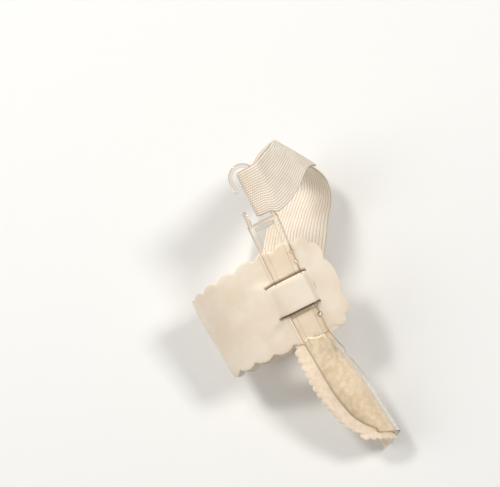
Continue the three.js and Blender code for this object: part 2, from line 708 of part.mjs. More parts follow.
const corrector = new THREE.Group();
const clearPlastic = material(0xf1eadb, 0.12, { transparent: true, opacity: 0.4 });
corrector.add(piece('splint', buildSplint(), clearPlastic));
corrector.add(piece('shell_padding', buildLayer({
  start: LINING_START,
  column: 'edge',
  inset: PADDING_INSET,
  depth: PADDING_DEPTH,
  thickness: PADDING_THICKNESS,
  columns: 30,
  rows: 8,
  width: PADDING_WIDTH,
}), material(0xe4cba0, 0.85)));
corrector.add(piece('toe_liner', buildLayer({
  start: LINING_START,
  column: 'lining',
  inset: 0,
  depth: LINER_DEPTH,
  thickness: LINER_THICKNESS,
  columns: 57,
  rows: 10,
  pinked: true,
}), material(0xf2ddc2, 0.8)));
corrector.add(piece('foot_cuff', buildCuff(), material(0xebe0cd, 0.45)));
corrector.add(piece('elastic_strap', buildStrap(), material(0xeadfcc, 0.75)));

export default corrector;
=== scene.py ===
"""Left bunion corrector, dressed for its picture.

Metres in Blender, millimetres in every size below. +Z is up off the splint's
back, -Y points to the toe shell's end and +X to the outer side, as in the CAD
model. The origin is the middle of the hollow that the band goes round.
"""

import logging
from collections.abc import Callable, Sequence
from dataclasses import dataclass, field
from enum import Enum
from math import ceil, cos, pi, radians, sin

import bmesh
import bpy
import numpy as np
from mathutils import Matrix, Vector


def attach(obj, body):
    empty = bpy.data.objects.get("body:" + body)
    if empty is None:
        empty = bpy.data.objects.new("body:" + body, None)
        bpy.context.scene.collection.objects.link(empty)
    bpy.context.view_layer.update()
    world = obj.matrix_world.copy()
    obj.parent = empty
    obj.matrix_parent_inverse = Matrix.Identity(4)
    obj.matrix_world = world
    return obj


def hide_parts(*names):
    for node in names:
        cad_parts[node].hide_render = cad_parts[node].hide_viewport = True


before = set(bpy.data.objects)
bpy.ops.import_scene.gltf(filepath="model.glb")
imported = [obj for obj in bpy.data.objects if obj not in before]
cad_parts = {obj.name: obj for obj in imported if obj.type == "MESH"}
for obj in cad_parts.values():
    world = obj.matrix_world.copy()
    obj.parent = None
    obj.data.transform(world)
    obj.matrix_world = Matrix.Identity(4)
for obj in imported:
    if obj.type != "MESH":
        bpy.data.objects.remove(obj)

LOG = logging.getLogger("bunion_corrector")
MM = 0.001

Array = np.ndarray
Colour = tuple[float, float, float, float]
Value = bpy.types.NodeSocket | float | tuple[float, ...]


# Sizes that more than one piece follows

@dataclass(frozen=True)
class Fit:
    """Sizes of the worn hollow and the clearance between neighbours."""

    hollow_width: float = 94.0
    hollow_height: float = 39.0
    slope: float = 18.0
    splint_x: float = -7.0
    clearance: float = 0.3

    @property
    def under_z(self) -> float:
        """Height of the hollow's underside."""
        return -self.hollow_height / 2

    @property
    def bar_z(self) -> float:
        """Height of the splint's bridge."""
        return self.hollow_height / 2


@dataclass(frozen=True)
class SplintSizes:
    """Sizes of the clear plastic moulding."""

    thickness: float = 1.8
    web: float = 1.1
    rail: float = 2.1
    bar_width: float = 12.6
    bar_inner_x: float = -4.4
    hook_reach: float = 64.5
    hook_width: float = 12.8
    hook_mouth: float = 9.4
    window: float = 25.5
    nub_radius: float = 1.0
    nub_pitch: float = 5.3
    nub_count: int = 7
    nub_start_y: float = 18.1
    blade_tail: float = 12.0
    blade_flare: float = 0.6
    ring_x: float = 3.5
    lip_over_window: float = 6.6
    shell: float = 1.2
    shell_start: float = 0.11

    @property
    def bar_outer_x(self) -> float:
        """The outer edge of the bar."""
        return self.bar_inner_x + self.bar_width

    @property
    def window_low(self) -> float:
        """The toe-side end of the hook's window."""
        return self.hook_reach - self.rail - self.window


@dataclass(frozen=True)
class GutterSizes:
    """Sizes of the toe gutter, its padding and its liner."""

    reach: float = 89.5
    radius: float = 14.0
    flatness: float = 2.0
    padding: float = 1.2
    liner: float = 1.8
    pink_pitch: float = 3.8
    pink_depth: float = 0.7
    end_dorsal: float = 0.85
    end_tip: float = 0.925


@dataclass(frozen=True)
class CuffSizes:
    """Sizes of the leatherette band."""

    width: float = 41.5
    side_width: float = 38.5
    side_shift: float = -0.5
    thickness: float = 1.2
    dorsal_reach: float = 21.0
    sole_end_x: float = 6.0
    scallop_pitch: float = 10.0
    scallop_rise: float = 2.1
    slot_spacing: float = 14.6
    slot_cut: float = 1.1
    slot_inner: float = 9.6
    slot_outer: float = 10.6
    squaring_girth: float = -70.0
    side_girth: float = 32.0


@dataclass(frozen=True)
class StrapSizes:
    """Sizes of the elastic."""

    width: float = 25.0
    thickness: float = 1.3
    fold_x: float = 2.0
    fold_width: float = 0.85
    line_y: float = 50.0
    hook_room: float = 1.5
    ground_gap: float = 0.1


FIT = Fit()
SPLINT = SplintSizes()
GUTTER = GutterSizes()
CUFF = CuffSizes()
STRAP = StrapSizes()


# Numbers

def lerp(a: float | Array, b: float | Array, t: float | Array) -> float | Array:
    """The value a share t of the way from a to b."""
    return a + (b - a) * t


def ease(t: float | Array) -> float | Array:
    """A smooth step from 0 to 1 as t goes from 0 to 1."""
    k = np.clip(t, 0.0, 1.0)
    return k * k * (3 - 2 * k)


def read_column(keys: Sequence[float], values: Sequence[float], at: float | Array) -> Array:
    """Read one column of a table smoothly.

    Args:
        keys: The rows' places, rising.
        values: The column's value in each row.
        at: Where to read it.

    Returns:
        The value at each place, on a smooth curve through the rows.
    """
    k = np.asarray(keys, float)
    v = np.asarray(values, float)
    x = np.clip(np.asarray(at, float), k[0], k[-1])
    i = np.clip(np.searchsorted(k, x, side="right") - 1, 0, len(k) - 2)
    before = np.maximum(i - 1, 0)
    after = np.minimum(i + 2, len(k) - 1)
    span = k[i + 1] - k[i]
    t = (x - k[i]) / span
    slope_a = span * (v[i + 1] - v[before]) / (k[i + 1] - k[before])
    slope_b = span * (v[after] - v[i]) / (k[after] - k[i])
    t2, t3 = t * t, t * t * t
    return (
        (2 * t3 - 3 * t2 + 1) * v[i]
        + (t3 - 2 * t2 + t) * slope_a
        + (3 * t2 - 2 * t3) * v[i + 1]
        + (t3 - t2) * slope_b
    )


def smooth_path(knots: Array, closed: bool, at: Array) -> Array:
    """Points on a smooth centripetal curve through knots.

    Args:
        knots: Knots along the first axis, coordinates along the last.
        closed: Whether the last knot joins the first.
        at: Places from 0 to 1 along the curve, in even steps from knot to knot.

    Returns:
        One point for each place, for each path between the first and last axes.
    """
    n = len(knots)
    spans = n if closed else n - 1
    place = np.clip(at, 0, 1) * spans
    i = np.minimum(place.astype(int), spans - 1)
    t = (place - i).reshape((-1,) + (1,) * (knots.ndim - 1))
    if closed:
        p0, p1, p2, p3 = (knots[(i + k) % n] for k in (-1, 0, 1, 2))
    else:
        first = 2 * knots[0] - knots[1]
        last = 2 * knots[-1] - knots[-2]
        row = np.concatenate([first[None], knots, last[None]])
        p0, p1, p2, p3 = (row[i + k] for k in range(4))

    def gap(a: Array, b: Array) -> Array:
        """The root of the distance between two rows of points."""
        return np.maximum(np.linalg.norm(b - a, axis=-1, keepdims=True), 1e-6) ** 0.5

    d0, d1, d2 = gap(p0, p1), gap(p1, p2), gap(p2, p3)
    m1 = ((p1 - p0) / d0 - (p2 - p0) / (d0 + d1) + (p2 - p1) / d1) * d1
    m2 = ((p2 - p1) / d1 - (p3 - p1) / (d1 + d2) + (p3 - p2) / d2) * d1
    t2, t3 = t * t, t * t * t
    return (2 * t3 - 3 * t2 + 1) * p1 + (t3 - 2 * t2 + t) * m1 + (3 * t2 - 2 * t3) * p2 + (t3 - t2) * m2


def unit(v: Array) -> Array:
    """The vectors at length one."""
    return v / np.maximum(np.linalg.norm(v, axis=-1, keepdims=True), 1e-12)


# The worn form and the splint's plane

@dataclass
class WornForm:
    """The form that the band and the elastic lie on when worn.

    Heights are shares of the hollow's height over its underside, sideways
    places are shares of its width, and y is in millimetres. The knots between
    the named places are shares of the way from one to the next.
    """

    y: tuple[float, ...] = (-34, -14, 0, 14, 32, 50, 74)
    inner: tuple[float, ...] = (-0.49, -0.512, -0.522, -0.532, -0.53, -0.56, -0.58)
    outer: tuple[float, ...] = (0.50, 0.51, 0.50, 0.47, 0.385, 0.325, 0.165)
    crest: tuple[float, ...] = (-0.10, -0.10, -0.10, -0.11, -0.12, -0.13, -0.14)
    top: tuple[float, ...] = (0.70, 0.885, 1.0, 1.117, 1.24, 1.375, 1.60)
    inner_rise: tuple[float, ...] = (0.36, 0.42, 0.45, 0.48, 0.50, 0.52, 0.54)
    outer_rise: tuple[float, ...] = (0.26, 0.27, 0.29, 0.30, 0.30, 0.32, 0.36)
    shoulder: tuple[float, ...] = (0.27, 0.27, 0.27, 0.25, 0.19, 0.13, 0.12)
    shoulder_place: float = 0.52
    low_outer: float = 0.2
    low_middle: float = 0.5
    low_inner: float = 0.3
    inner_shoulder: tuple[float, float] = (0.36, 0.2)
    samples: int = 2401
    step: float = 2.0
    reach: float = 150.0
    normal_spread: float = 3.0
    under_start: float = -20.0
    under_step: float = 0.5
    under_near: float = 6.0
    last_cell: float = 1.001
    table: Array = field(init=False, repr=False)

    def __post_init__(self) -> None:
        """Tabulate every section at even steps of girth."""
        rows = np.arange(self.y[0], self.y[-1] + self.step / 2, self.step)
        self.table = np.stack([self._section(row) for row in rows])

    def _section(self, y: float) -> Array:
        """One section's places, from the splint's line outward and inward.

        Args:
            y: The section's place along the form.

        Returns:
            One point for each step of girth.
        """
        def read(column: Sequence[float]) -> float:
            """One column at this section."""
            return float(read_column(self.y, column, y))

        inner, outer, crest = (
            read(column) * FIT.hollow_width for column in (self.inner, self.outer, self.crest))
        top, inner_z, outer_z = (
            FIT.under_z + read(column) * FIT.hollow_height
            for column in (self.top, self.inner_rise, self.outer_rise))
        inner_across, inner_down = self.inner_shoulder
        places = [
            (crest, top),
            (lerp(crest, outer, self.shoulder_place), lerp(top, outer_z, read(self.shoulder))),
            (outer, outer_z),
            (lerp(outer, crest, self.low_outer), FIT.under_z),
            (lerp(outer, inner, self.low_middle), FIT.under_z),
            (lerp(inner, crest, self.low_inner), FIT.under_z),
            (inner, inner_z),
            (lerp(inner, crest, inner_across), lerp(top, inner_z, inner_down)),
        ]
        knots = np.array([(x, y, z) for x, z in places])
        dense = smooth_path(knots, True, np.linspace(0, 1, self.samples))
        run = np.concatenate([[0], np.cumsum(np.linalg.norm(np.diff(dense, axis=0), axis=1))])
        girth = run[-1]
        upper = np.where(dense[:, 2] > 0, np.abs(dense[:, 0] - FIT.splint_x), np.inf)
        start = run[int(np.argmin(upper[:-1]))]
        s = np.arange(-self.reach, self.reach + self.step / 2, self.step)
        at = (start + s) % girth
        return np.stack([np.interp(at, run, dense[:, k]) for k in range(3)], axis=1)

    def point(self, s: Array, y: Array) -> Array:
        """The surface at a girth from the splint's line and a place along the form.

        Args:
            s: Girths outward from the splint's line.
            y: Places along the form.

        Returns:
            The points.
        """
        s, y = np.broadcast_arrays(np.asarray(s, float), np.asarray(y, float))
        row = np.clip((y - self.y[0]) / self.step, 0, len(self.table) - self.last_cell)
        column = np.clip((s + self.reach) / self.step, 0, self.table.shape[1] - self.last_cell)
        i, j = row.astype(int), column.astype(int)
        u, v = (row - i)[..., None], (column - j)[..., None]
        low = lerp(self.table[i, j], self.table[i, j + 1], v)
        high = lerp(self.table[i + 1, j], self.table[i + 1, j + 1], v)
        return lerp(low, high, u)

    def normal(self, s: Array, y: Array) -> Array:
        """The outward normal, read over a step wide enough to run smoothly.

        Args:
            s: Girths outward from the splint's line.
            y: Places along the form.

        Returns:
            The normals at length one.
        """
        s, y = np.asarray(s, float), np.asarray(y, float)
        reach = self.normal_spread
        along = self.point(s, y + reach) - self.point(s, y - reach)
        around = self.point(s + reach, y) - self.point(s - reach, y)
        return unit(np.cross(around, along))

    def stretch(self, s: Array, y: Array) -> Array:
        """How much longer the surface is than its place along the form."""
        y = np.asarray(y, float)
        return np.linalg.norm(self.point(s, y + 1) - self.point(s, y - 1), axis=-1) / 2

    def under_girth(self, x: float, y: Array) -> Array:
        """The girth, inward of the splint's line, at which the underside reaches x.

        Args:
            x: The place across the form.
            y: The places along it.

        Returns:
            The girth at each place along the form.
        """
        girths = np.arange(-self.reach, self.under_start, self.under_step)
        found = []
        for row in np.atleast_1d(np.asarray(y, float)).ravel():
            line = self.point(girths, np.full_like(girths, row))
            under = (line[:, 2] < 0) & (np.abs(line[:, 0] - x) < self.under_near)
            order = np.argsort(line[under, 0])
            found.append(float(np.interp(x, line[under, 0][order], girths[under][order])))
        return np.array(found).reshape(np.shape(y)) if np.ndim(y) else np.array(found[0])


@dataclass(frozen=True)
class BarPlane:
    """The splint's own plane: x outward and y hookward from the bridge, h up off it."""

    slope: float = radians(FIT.slope)

    @property
    def along(self) -> Array:
        """The way to the hook."""
        return np.array([0.0, cos(self.slope), sin(self.slope)])

    @property
    def up(self) -> Array:
        """The way up off the plane."""
        return np.array([0.0, -sin(self.slope), cos(self.slope)])

    def at(self, x: Array, y: Array, h: Array) -> Array:
        """Places on the plane, in the frame of the whole part.

        Args:
            x: Places outward.
            y: Places hookward.
            h: Heights off the plane.

        Returns:
            The points.
        """
        x, y, h = np.broadcast_arrays(*(np.asarray(v, float) for v in (x, y, h)))
        base = np.stack([FIT.splint_x + x, np.zeros_like(x), np.full_like(x, FIT.bar_z)], axis=-1)
        return base + y[..., None] * self.along + h[..., None] * self.up

    def matrix(self) -> Matrix:
        """The turn and move from the plane to the frame, in metres."""
        place = Matrix.Translation((FIT.splint_x * MM, 0, FIT.bar_z * MM))
        return place @ Matrix.Rotation(self.slope, 4, "X")


FORM = WornForm()
BAR = BarPlane()


# Meshes

# How far a sheet's rounded rim stands out, as a share of half its thickness
RIM_FULLNESS = 0.7


def deselect() -> None:
    """Leave edit mode and deselect everything."""
    if bpy.context.object and bpy.context.object.mode != "OBJECT":
        bpy.ops.object.mode_set(mode="OBJECT")
    bpy.ops.object.select_all(action="DESELECT")


def activate(obj: bpy.types.Object) -> None:
    """Select one object alone and make it the active one.

    Args:
        obj: The object.
    """
    deselect()
    obj.select_set(True)
    bpy.context.view_layer.objects.active = obj


def apply_all(obj: bpy.types.Object) -> None:
    """Apply every modifier of an object in order.

    Args:
        obj: The object.
    """
    activate(obj)
    for modifier in list(obj.modifiers):
        bpy.ops.object.modifier_apply(modifier=modifier.name)


def smooth(obj: bpy.types.Object, angle: float) -> None:
    """Shade an object smooth and keep its sharp edges.

    Args:
        obj: The object.
        angle: The turn in degrees from which an edge is sharp.
    """
    activate(obj)
    bpy.ops.object.shade_smooth_by_angle(angle=radians(angle))
    deselect()


def new_object(name: str, points: Array, faces: Sequence[Sequence[int]]) -> bpy.types.Object:
    """Make an object from points in millimetres.

    Args:
        name: The object's name.
        points: One row for each vertex.
        faces: The vertices of each face.

    Returns:
        The object, linked to the scene.
    """
    mesh = bpy.data.meshes.new(name)
    mesh.from_pydata((points * MM).tolist(), [], [list(face) for face in faces])
    mesh.validate()
    mesh.update()
    obj = bpy.data.objects.new(name, mesh)
    bpy.context.scene.collection.objects.link(obj)
    return obj


def write_uv(obj: bpy.types.Object, uv: Array) -> None:
    """Give a mesh its own map.

    Args:
        obj: The object.
        uv: A pair of lengths for each vertex.
    """
    layer = obj.data.uv_layers.new(name="lay")
    index = np.zeros(len(obj.data.loops), dtype=np.int32)
    obj.data.loops.foreach_get("vertex_index", index)
    layer.data.foreach_set("uv", uv[index].astype(np.float32).ravel())


def write_mask(obj: bpy.types.Object, name: str, values: Array) -> None:
    """Give a mesh a value for each vertex that its material reads."""
    layer = obj.data.attributes.new(name, "FLOAT", "POINT")
    layer.data.foreach_set("value", np.asarray(values, np.float32).ravel())


@dataclass
class Surface:
    """A sheet's middle surface and what its mesh carries.

    Points are in millimetres, one row for each vertex, with outward normals,
    the thickness over and under the surface, lengths along and across in
    millimetres, and values that the material reads.
    """

    points: Array
    normals: Array
    faces: Array
    up: Array
    down: Array
    lay: Array
    masks: dict[str, Array] = field(default_factory=dict)

    def area(self) -> float:
        """The area of the middle surface.

        Returns:
            The area in square metres.
        """
        a, b, c, d = (self.points[self.faces[:, k]] * MM for k in range(4))
        crossed = np.cross(c - a, d - b)
        return float(np.linalg.norm(crossed, axis=1).sum() / 2)

    @classmethod
    def of_grid(cls, points: Array, normals: Array, up: Array, down: Array, run: Array, side: Array,
                masks: dict[str, Array] | None = None) -> "Surface":
        """Take a sheet whose points lie in columns and rows.

        Args:
            points: The points, by column and row.
            normals: Their outward normals.
            up: The thickness over the surface.
            down: The thickness under it.
            run: The length along the sheet.
            side: The length across it.
            masks: The values that the material reads.

        Returns:
            The surface.
        """
        shape = points.shape[:2]
        lay = np.stack([np.broadcast_to(run, shape), np.broadcast_to(side, shape)], axis=-1)
        spread = {key: np.broadcast_to(value, shape).ravel() for key, value in (masks or {}).items()}
        return cls(
            points.reshape(-1, 3), normals.reshape(-1, 3), grid_faces(*shape), up.ravel(), down.ravel(),
            lay.reshape(-1, 2), spread,
        )

    def build(self, name: str, rim: int = 5) -> bpy.types.Object:
        """Build the closed sheet with a rounded rim round every free edge.

        Args:
            name: The object's name.
            rim: Faces round the rim.

        Returns:
            The sheet, with its map and its masks.
        """
        count = len(self.points)
        faces = self.faces
        corner = [self.points[faces[:, k]] for k in range(4)]
        facing = np.cross(corner[2] - corner[0], corner[3] - corner[1])
        if (facing * self.normals[faces[:, 0]]).sum() < 0:
            faces = faces[:, ::-1]
        start, end = faces.ravel(), np.roll(faces, -1, axis=1).ravel()
        forward, backward = start * count + end, end * count + start
        free = ~np.isin(forward, backward) & (start != end)
        start, end = start[free], end[free]
        order = {int(v): k for k, v in enumerate(start)}
        before = np.zeros_like(start)
        for k, v in enumerate(end):
            before[order[int(v)]] = start[k]
        way = unit(self.points[end] - self.points[before])
        out = unit(np.cross(way, self.normals[start]))
        top = self.points + self.normals * self.up[:, None]
        low = self.points - self.normals * self.down[:, None]
        thick = (self.up[start] + self.down[start]) / 2
        vertices, lays = [top, low], [self.lay, self.lay]
        masks = {key: [value, value] for key, value in self.masks.items()}
        side = [np.ones(count), np.zeros(count)]
        rings = [start]
        for k in range(1, rim):
            angle = pi * k / rim
            middle = lerp(top[start], low[start], (1 - cos(angle)) / 2)
            vertices.append(middle + out * (thick * sin(angle) * RIM_FULLNESS)[:, None])
            lays.append(self.lay[start])
            side.append(np.full(len(start), 1 - k / rim))
            for key, value in self.masks.items():
                masks[key].append(value[start])
            rings.append(2 * count + (k - 1) * len(start) + np.arange(len(start)))
        rings.append(start + count)
        nearest = np.array([order[int(v)] for v in end])
        quads = [faces, faces[:, ::-1] + count]
        for first, second in zip(rings[:-1], rings[1:]):
            quads.append(np.stack([first, second, second[nearest], first[nearest]], axis=-1))
        obj = new_object(name, np.concatenate(vertices), np.concatenate(quads).tolist())
        write_uv(obj, np.concatenate(lays) * MM)
        write_mask(obj, "upper", np.concatenate(side))
        for key, parts in masks.items():
            write_mask(obj, key, np.concatenate(parts))
        return obj


def mark_edges(obj: bpy.types.Object, name: str, full: float) -> None:
    """Give a mesh a mask that is 1 where its faces turn sharply.

    Args:
        obj: The object.
        name: The mask's name.
        full: The turn in degrees at which the mask reaches 1.
    """
    bm = bmesh.new()
    bm.from_mesh(obj.data)
    values = []
    for vertex in bm.verts:
        turns = [edge.calc_face_angle(0.0) for edge in vertex.link_edges]
        values.append(min(1.0, max(turns, default=0.0) / radians(full)))
    bm.free()
    write_mask(obj, name, np.array(values))


def grid_faces(columns: int, rows: int) -> Array:
    """The faces of a grid whose points are stored column by column.

    Args:
        columns: The number of columns.
        rows: The points in each.

    Returns:
        Each face's four points.
    """
    ids = np.arange(columns * rows).reshape(columns, rows)
    a, b, c, d = ids[:-1, :-1], ids[1:, :-1], ids[1:, 1:], ids[:-1, 1:]
    return np.stack([a, b, c, d], axis=-1).reshape(-1, 4)


# Shader node groups

Range = tuple[float, float]
FULL = (0.0, 1.0)
FADING = (1.0, 0.0)

# The Mix node's sockets for its factor and for what it mixes
MIX_COLOURS = (0, 6, 7)
MIX_NUMBERS = (0, 2, 3)


class Nodes:
    """Helper that adds and joins the nodes of one tree."""

    def __init__(self, tree: bpy.types.NodeTree) -> None:
        """Take a node tree and empty it."""
        self.tree = tree
        tree.nodes.clear()

    def add(self, kind: str, **inputs: object) -> bpy.types.Node:
        """Add a node.

        Args:
            kind: The node's type, without the word ShaderNode.
            inputs: Attributes of the node by name, or socket values and links
                by socket name, with underscores for spaces.

        Returns:
            The node.
        """
        node = self.tree.nodes.new(f"ShaderNode{kind}")
        for key, value in inputs.items():
            if hasattr(node, key):
                setattr(node, key, value)
            else:
                self.feed(node.inputs[key.replace("_", " ")], value)
        return node

    def feed(self, socket: bpy.types.NodeSocket, value: Value) -> None:
        """Join a link to a socket, or set the socket's own value.

        Args:
            socket: The socket.
            value: Another node's output, or a plain value.
        """
        if isinstance(value, bpy.types.NodeSocket):
            self.tree.links.new(value, socket)
        else:
            socket.default_value = value

    def mask(self, name: str) -> bpy.types.NodeSocket:
        """A mesh's mask by name."""
        return self.add("Attribute", attribute_name=name).outputs["Fac"]

    def maths(self, operation: str, a: Value, b: Value = 0.0, c: Value = 0.0) -> bpy.types.NodeSocket:
        """Add a Math node, which reads as many values as it needs.

        Args:
            operation: The node's operation.
            a: Its first value.
            b: Its second.
            c: Its third.

        Returns:
            The result.
        """
        node = self.add("Math", operation=operation)
        for socket, value in zip([s for s in node.inputs if s.enabled], (a, b, c)):
            self.feed(socket, value)
        return node.outputs[0]

    def between(self, value: Value, given: Range, to: Range = FULL) -> bpy.types.NodeSocket:
        """Carry a value smoothly from one range to another.

        Args:
            value: The value.
            given: The range that it has.
            to: The range that it gets.

        Returns:
            The carried value.
        """
        node = self.add(
            "MapRange", interpolation_type="SMOOTHSTEP", Value=value,
            From_Min=given[0], From_Max=given[1], To_Min=to[0], To_Max=to[1],
        )
        return node.outputs["Result"]

    def blend(self, factor: Value, a: Value, b: Value) -> bpy.types.NodeSocket:
        """Mix two colours.

        Args:
            factor: The second colour's share.
            a: The first colour.
            b: The second.

        Returns:
            The mixed colour.
        """
        node = self.add("Mix", data_type="RGBA")
        for index, value in zip(MIX_COLOURS, (factor, a, b)):
            self.feed(node.inputs[index], value)
        return node.outputs[2]


class EffectGroup:
    """A shader node group that is built once and placed in many materials."""

    def __init__(self, name: str, inputs: dict[str, float], outputs: Sequence[str]) -> None:
        """Make an empty group.

        Args:
            name: The group's name.
            inputs: Its number inputs with their starting values.
            outputs: Its number outputs.
        """
        self.tree = bpy.data.node_groups.new(name, "ShaderNodeTree")
        self.nodes = Nodes(self.tree)
        for label, value in inputs.items():
            socket = self.tree.interface.new_socket(label, in_out="INPUT", socket_type="NodeSocketFloat")
            socket.default_value = value
        for label in outputs:
            self.tree.interface.new_socket(label, in_out="OUTPUT", socket_type="NodeSocketFloat")
        self.given = self.tree.nodes.new("NodeGroupInput").outputs
        self.result = self.tree.nodes.new("NodeGroupOutput").inputs

    def put(self, label: str, socket: bpy.types.NodeSocket) -> None:
        """Join a socket to one of the group's outputs."""
        self.tree.links.new(socket, self.result[label])

    def place(self, nodes: Nodes, **values: object) -> bpy.types.Node:
        """Place the group in a material.

        Args:
            nodes: The material's nodes.
            values: That material's values by input.

        Returns:
            The placed group.
        """
        node = nodes.tree.nodes.new("ShaderNodeGroup")
        node.node_tree = self.tree
        for label, value in values.items():
            nodes.feed(node.inputs[label], value)
        return node


class Effects:
    """The shared effects: pebbled grain, matted fibres and handling wear.

    A group's size is in millimetres, and the scales of its fixed noise are
    cycles to the metre.
    """

    DRIFT = 0.6 * MM
    DRIFT_SCALE = 260.0
    CREASE_RANGE = (0.0, 0.16)
    DOME_SHARE = 0.4
    TUFT_SCALE = 420.0
    TUFT_RANGE = (0.35, 0.65)
    CLOUD_RANGE = (0.32, 0.68)
    MARK_SCALE = 520.0
    MARK_RANGE = (0.58, 0.72)

    def __init__(self) -> None:
        """Build every shared group."""
        self.grain = self._grain()
        self.fibres = self._fibres()
        self.wear = self._wear()

    def _grain(self) -> EffectGroup:
        """Pebbles of pressed leatherette with fine creases between them.

        Returns:
            The group, with the height and the face left between creases.
        """
        group = EffectGroup("pebbled_grain", {"Size": 0.7, "Crease": 0.5}, ("Height", "Mask"))
        n = group.nodes
        place = n.add("TexCoord").outputs["Object"]
        scale = n.maths("DIVIDE", 1 / MM, group.given["Size"])
        warp = n.add("TexNoise", Vector=place, Scale=self.DRIFT_SCALE, Detail=2.0)
        moved = n.add("VectorMath", operation="MULTIPLY_ADD")
        for socket, value in zip(moved.inputs, (warp.outputs["Color"], (self.DRIFT,) * 3, place)):
            n.feed(socket, value)
        pebble = n.add("TexVoronoi", feature="F1", Vector=moved.outputs[0], Scale=scale)
        crease = n.add("TexVoronoi", feature="DISTANCE_TO_EDGE", Vector=moved.outputs[0], Scale=scale)
        line = n.between(crease.outputs["Distance"], self.CREASE_RANGE)
        dome = n.maths("SUBTRACT", 1.0, pebble.outputs["Distance"])
        deep = n.maths("MULTIPLY", line, group.given["Crease"])
        group.put("Height", n.maths("ADD", n.maths("MULTIPLY", dome, self.DOME_SHARE), deep))
        group.put("Mask", line)
        return group

    def _fibres(self) -> EffectGroup:
        """Short matted fibres, as on a brushed or pressed soft sheet.

        Returns:
            The group, with the height and the tufts.
        """
        group = EffectGroup("matted_fibres", {"Size": 0.35, "Tufts": 1.0}, ("Height", "Mask"))
        n = group.nodes
        place = n.add("TexCoord").outputs["Object"]
        fine = n.maths("DIVIDE", 1 / MM, group.given["Size"])
        strands = n.add("TexNoise", Vector=place, Scale=fine, Detail=4.0, Roughness=0.7, Distortion=1.2)
        tufts = n.add("TexNoise", Vector=place, Scale=self.TUFT_SCALE, Detail=3.0, Roughness=0.6)
        clumps = n.maths("MULTIPLY", tufts.outputs["Fac"], group.given["Tufts"])
        group.put("Height", n.maths("ADD", strands.outputs["Fac"], clumps))
        group.put("Mask", n.between(tufts.outputs["Fac"], self.TUFT_RANGE))
        return group

    def _wear(self) -> EffectGroup:
        """Uneven tone from handling: broad clouds and small marks.

        Returns:
            The group, with the clouds and the marks.
        """
        group = EffectGroup("handling_wear", {"Spread": 18.0, "Marks": 0.5}, ("Clouds", "Marks"))
        n = group.nodes
        place = n.add("TexCoord").outputs["Object"]
        scale = n.maths("DIVIDE", 1 / MM, group.given["Spread"])
        clouds = n.add("TexNoise", Vector=place, Scale=scale, Detail=3.0, Roughness=0.55)
        marks = n.add("TexNoise", Vector=place, Scale=self.MARK_SCALE, Detail=5.0, Roughness=0.7)
        group.put("Clouds", n.between(clouds.outputs["Fac"], self.CLOUD_RANGE))
        spots = n.between(marks.outputs["Fac"], self.MARK_RANGE)
        group.put("Marks", n.maths("MULTIPLY", spots, group.given["Marks"]))
        return group


# Finishes

class Slot(Enum):
    """The record's material slots."""

    CLEAR_PLASTIC = "clear_plastic"
    TAN_PADDING = "tan_padding"
    PEACH_LINER = "peach_liner"
    CREAM_LEATHERETTE = "cream_leatherette"
    CREAM_ELASTIC = "cream_elastic"


class Held(Enum):
    """How a sheet is held."""

    STRETCHED = "stretched"
    LAID = "laid"


def srgb(red: float, green: float, blue: float) -> Colour:
    """A colour given in display values, in linear light.

    Args:
        red: Red from 0 to 255.
        green: Green from 0 to 255.
        blue: Blue from 0 to 255.

    Returns:
        The colour with full cover.
    """

    def linear(value: float) -> float:
        """One channel in linear light."""
        share = value / 255
        return share / 12.92 if share <= 0.04045 else ((share + 0.055) / 1.055) ** 2.4

    return (linear(red), linear(green), linear(blue), 1.0)


def new_material(name: str) -> tuple[bpy.types.Material, Nodes, bpy.types.Node]:
    """Make a material with its shader.

    Args:
        name: The material's name.

    Returns:
        The material, its nodes, and its Principled shader.
    """
    material = bpy.data.materials.new(name)
    material.use_nodes = True
    nodes = Nodes(material.node_tree)
    shader = nodes.add("BsdfPrincipled")
    output = nodes.add("OutputMaterial")
    nodes.tree.links.new(shader.outputs["BSDF"], output.inputs["Surface"])
    return material, nodes, shader


def dress(nodes: Nodes, shader: bpy.types.Node, colour: Value, rough: Value, height: Value,
          depth: float) -> None:
    """Join colour, roughness and a bump to a shader.

    Args:
        nodes: The material's nodes.
        shader: Its shader.
        colour: The colour.
        rough: The roughness.
        height: The bump's height, from 0 to about 1.
        depth: How far a height of one stands up, in millimetres.
    """
    bump = nodes.add("Bump", Height=height, Distance=depth * MM, Strength=1.0)
    nodes.feed(shader.inputs["Base Color"], colour)
    nodes.feed(shader.inputs["Roughness"], rough)
    nodes.feed(shader.inputs["Normal"], bump.outputs["Normal"])


@dataclass(frozen=True)
class ClearPlastic:
    """Clear moulded plastic with a faint warm tint and soft mould flow."""

    tint: Colour = srgb(254, 253, 251)
    flow: Colour = srgb(252, 248, 242)
    roughness: float = 0.025
    index: float = 1.46
    # Painted shade: a darker tan along the sharp edges, for the dark outlines that the plastic's edges show.
    edge: Colour = srgb(202, 182, 158)
    shadow: float = 0.5
    mark_dulling: float = 0.05
    flow_depth: float = 0.02

    def make(self, effects: Effects) -> bpy.types.Material:
        """Build the material.

        Args:
            effects: The shared effects.

        Returns:
            The material.
        """
        material, n, shader = new_material("clear_plastic")
        wear = effects.wear.place(n, Spread=9.0, Marks=0.6)
        body = n.blend(wear.outputs["Clouds"], self.tint, self.flow)
        # Painted shade along the sharp edges.
        colour = n.blend(n.mask("edge"), body, self.edge)
        rough = n.maths("MULTIPLY_ADD", wear.outputs["Marks"], self.mark_dulling, self.roughness)
        shaded = n.add("LightPath").outputs["Is Shadow Ray"]
        n.feed(shader.inputs["Alpha"], n.maths("MULTIPLY_ADD", shaded, -self.shadow, 1.0))
        shader.inputs["IOR"].default_value = self.index
        shader.inputs["Transmission Weight"].default_value = 1.0
        dress(n, shader, colour, rough, wear.outputs["Clouds"], self.flow_depth)
        return material


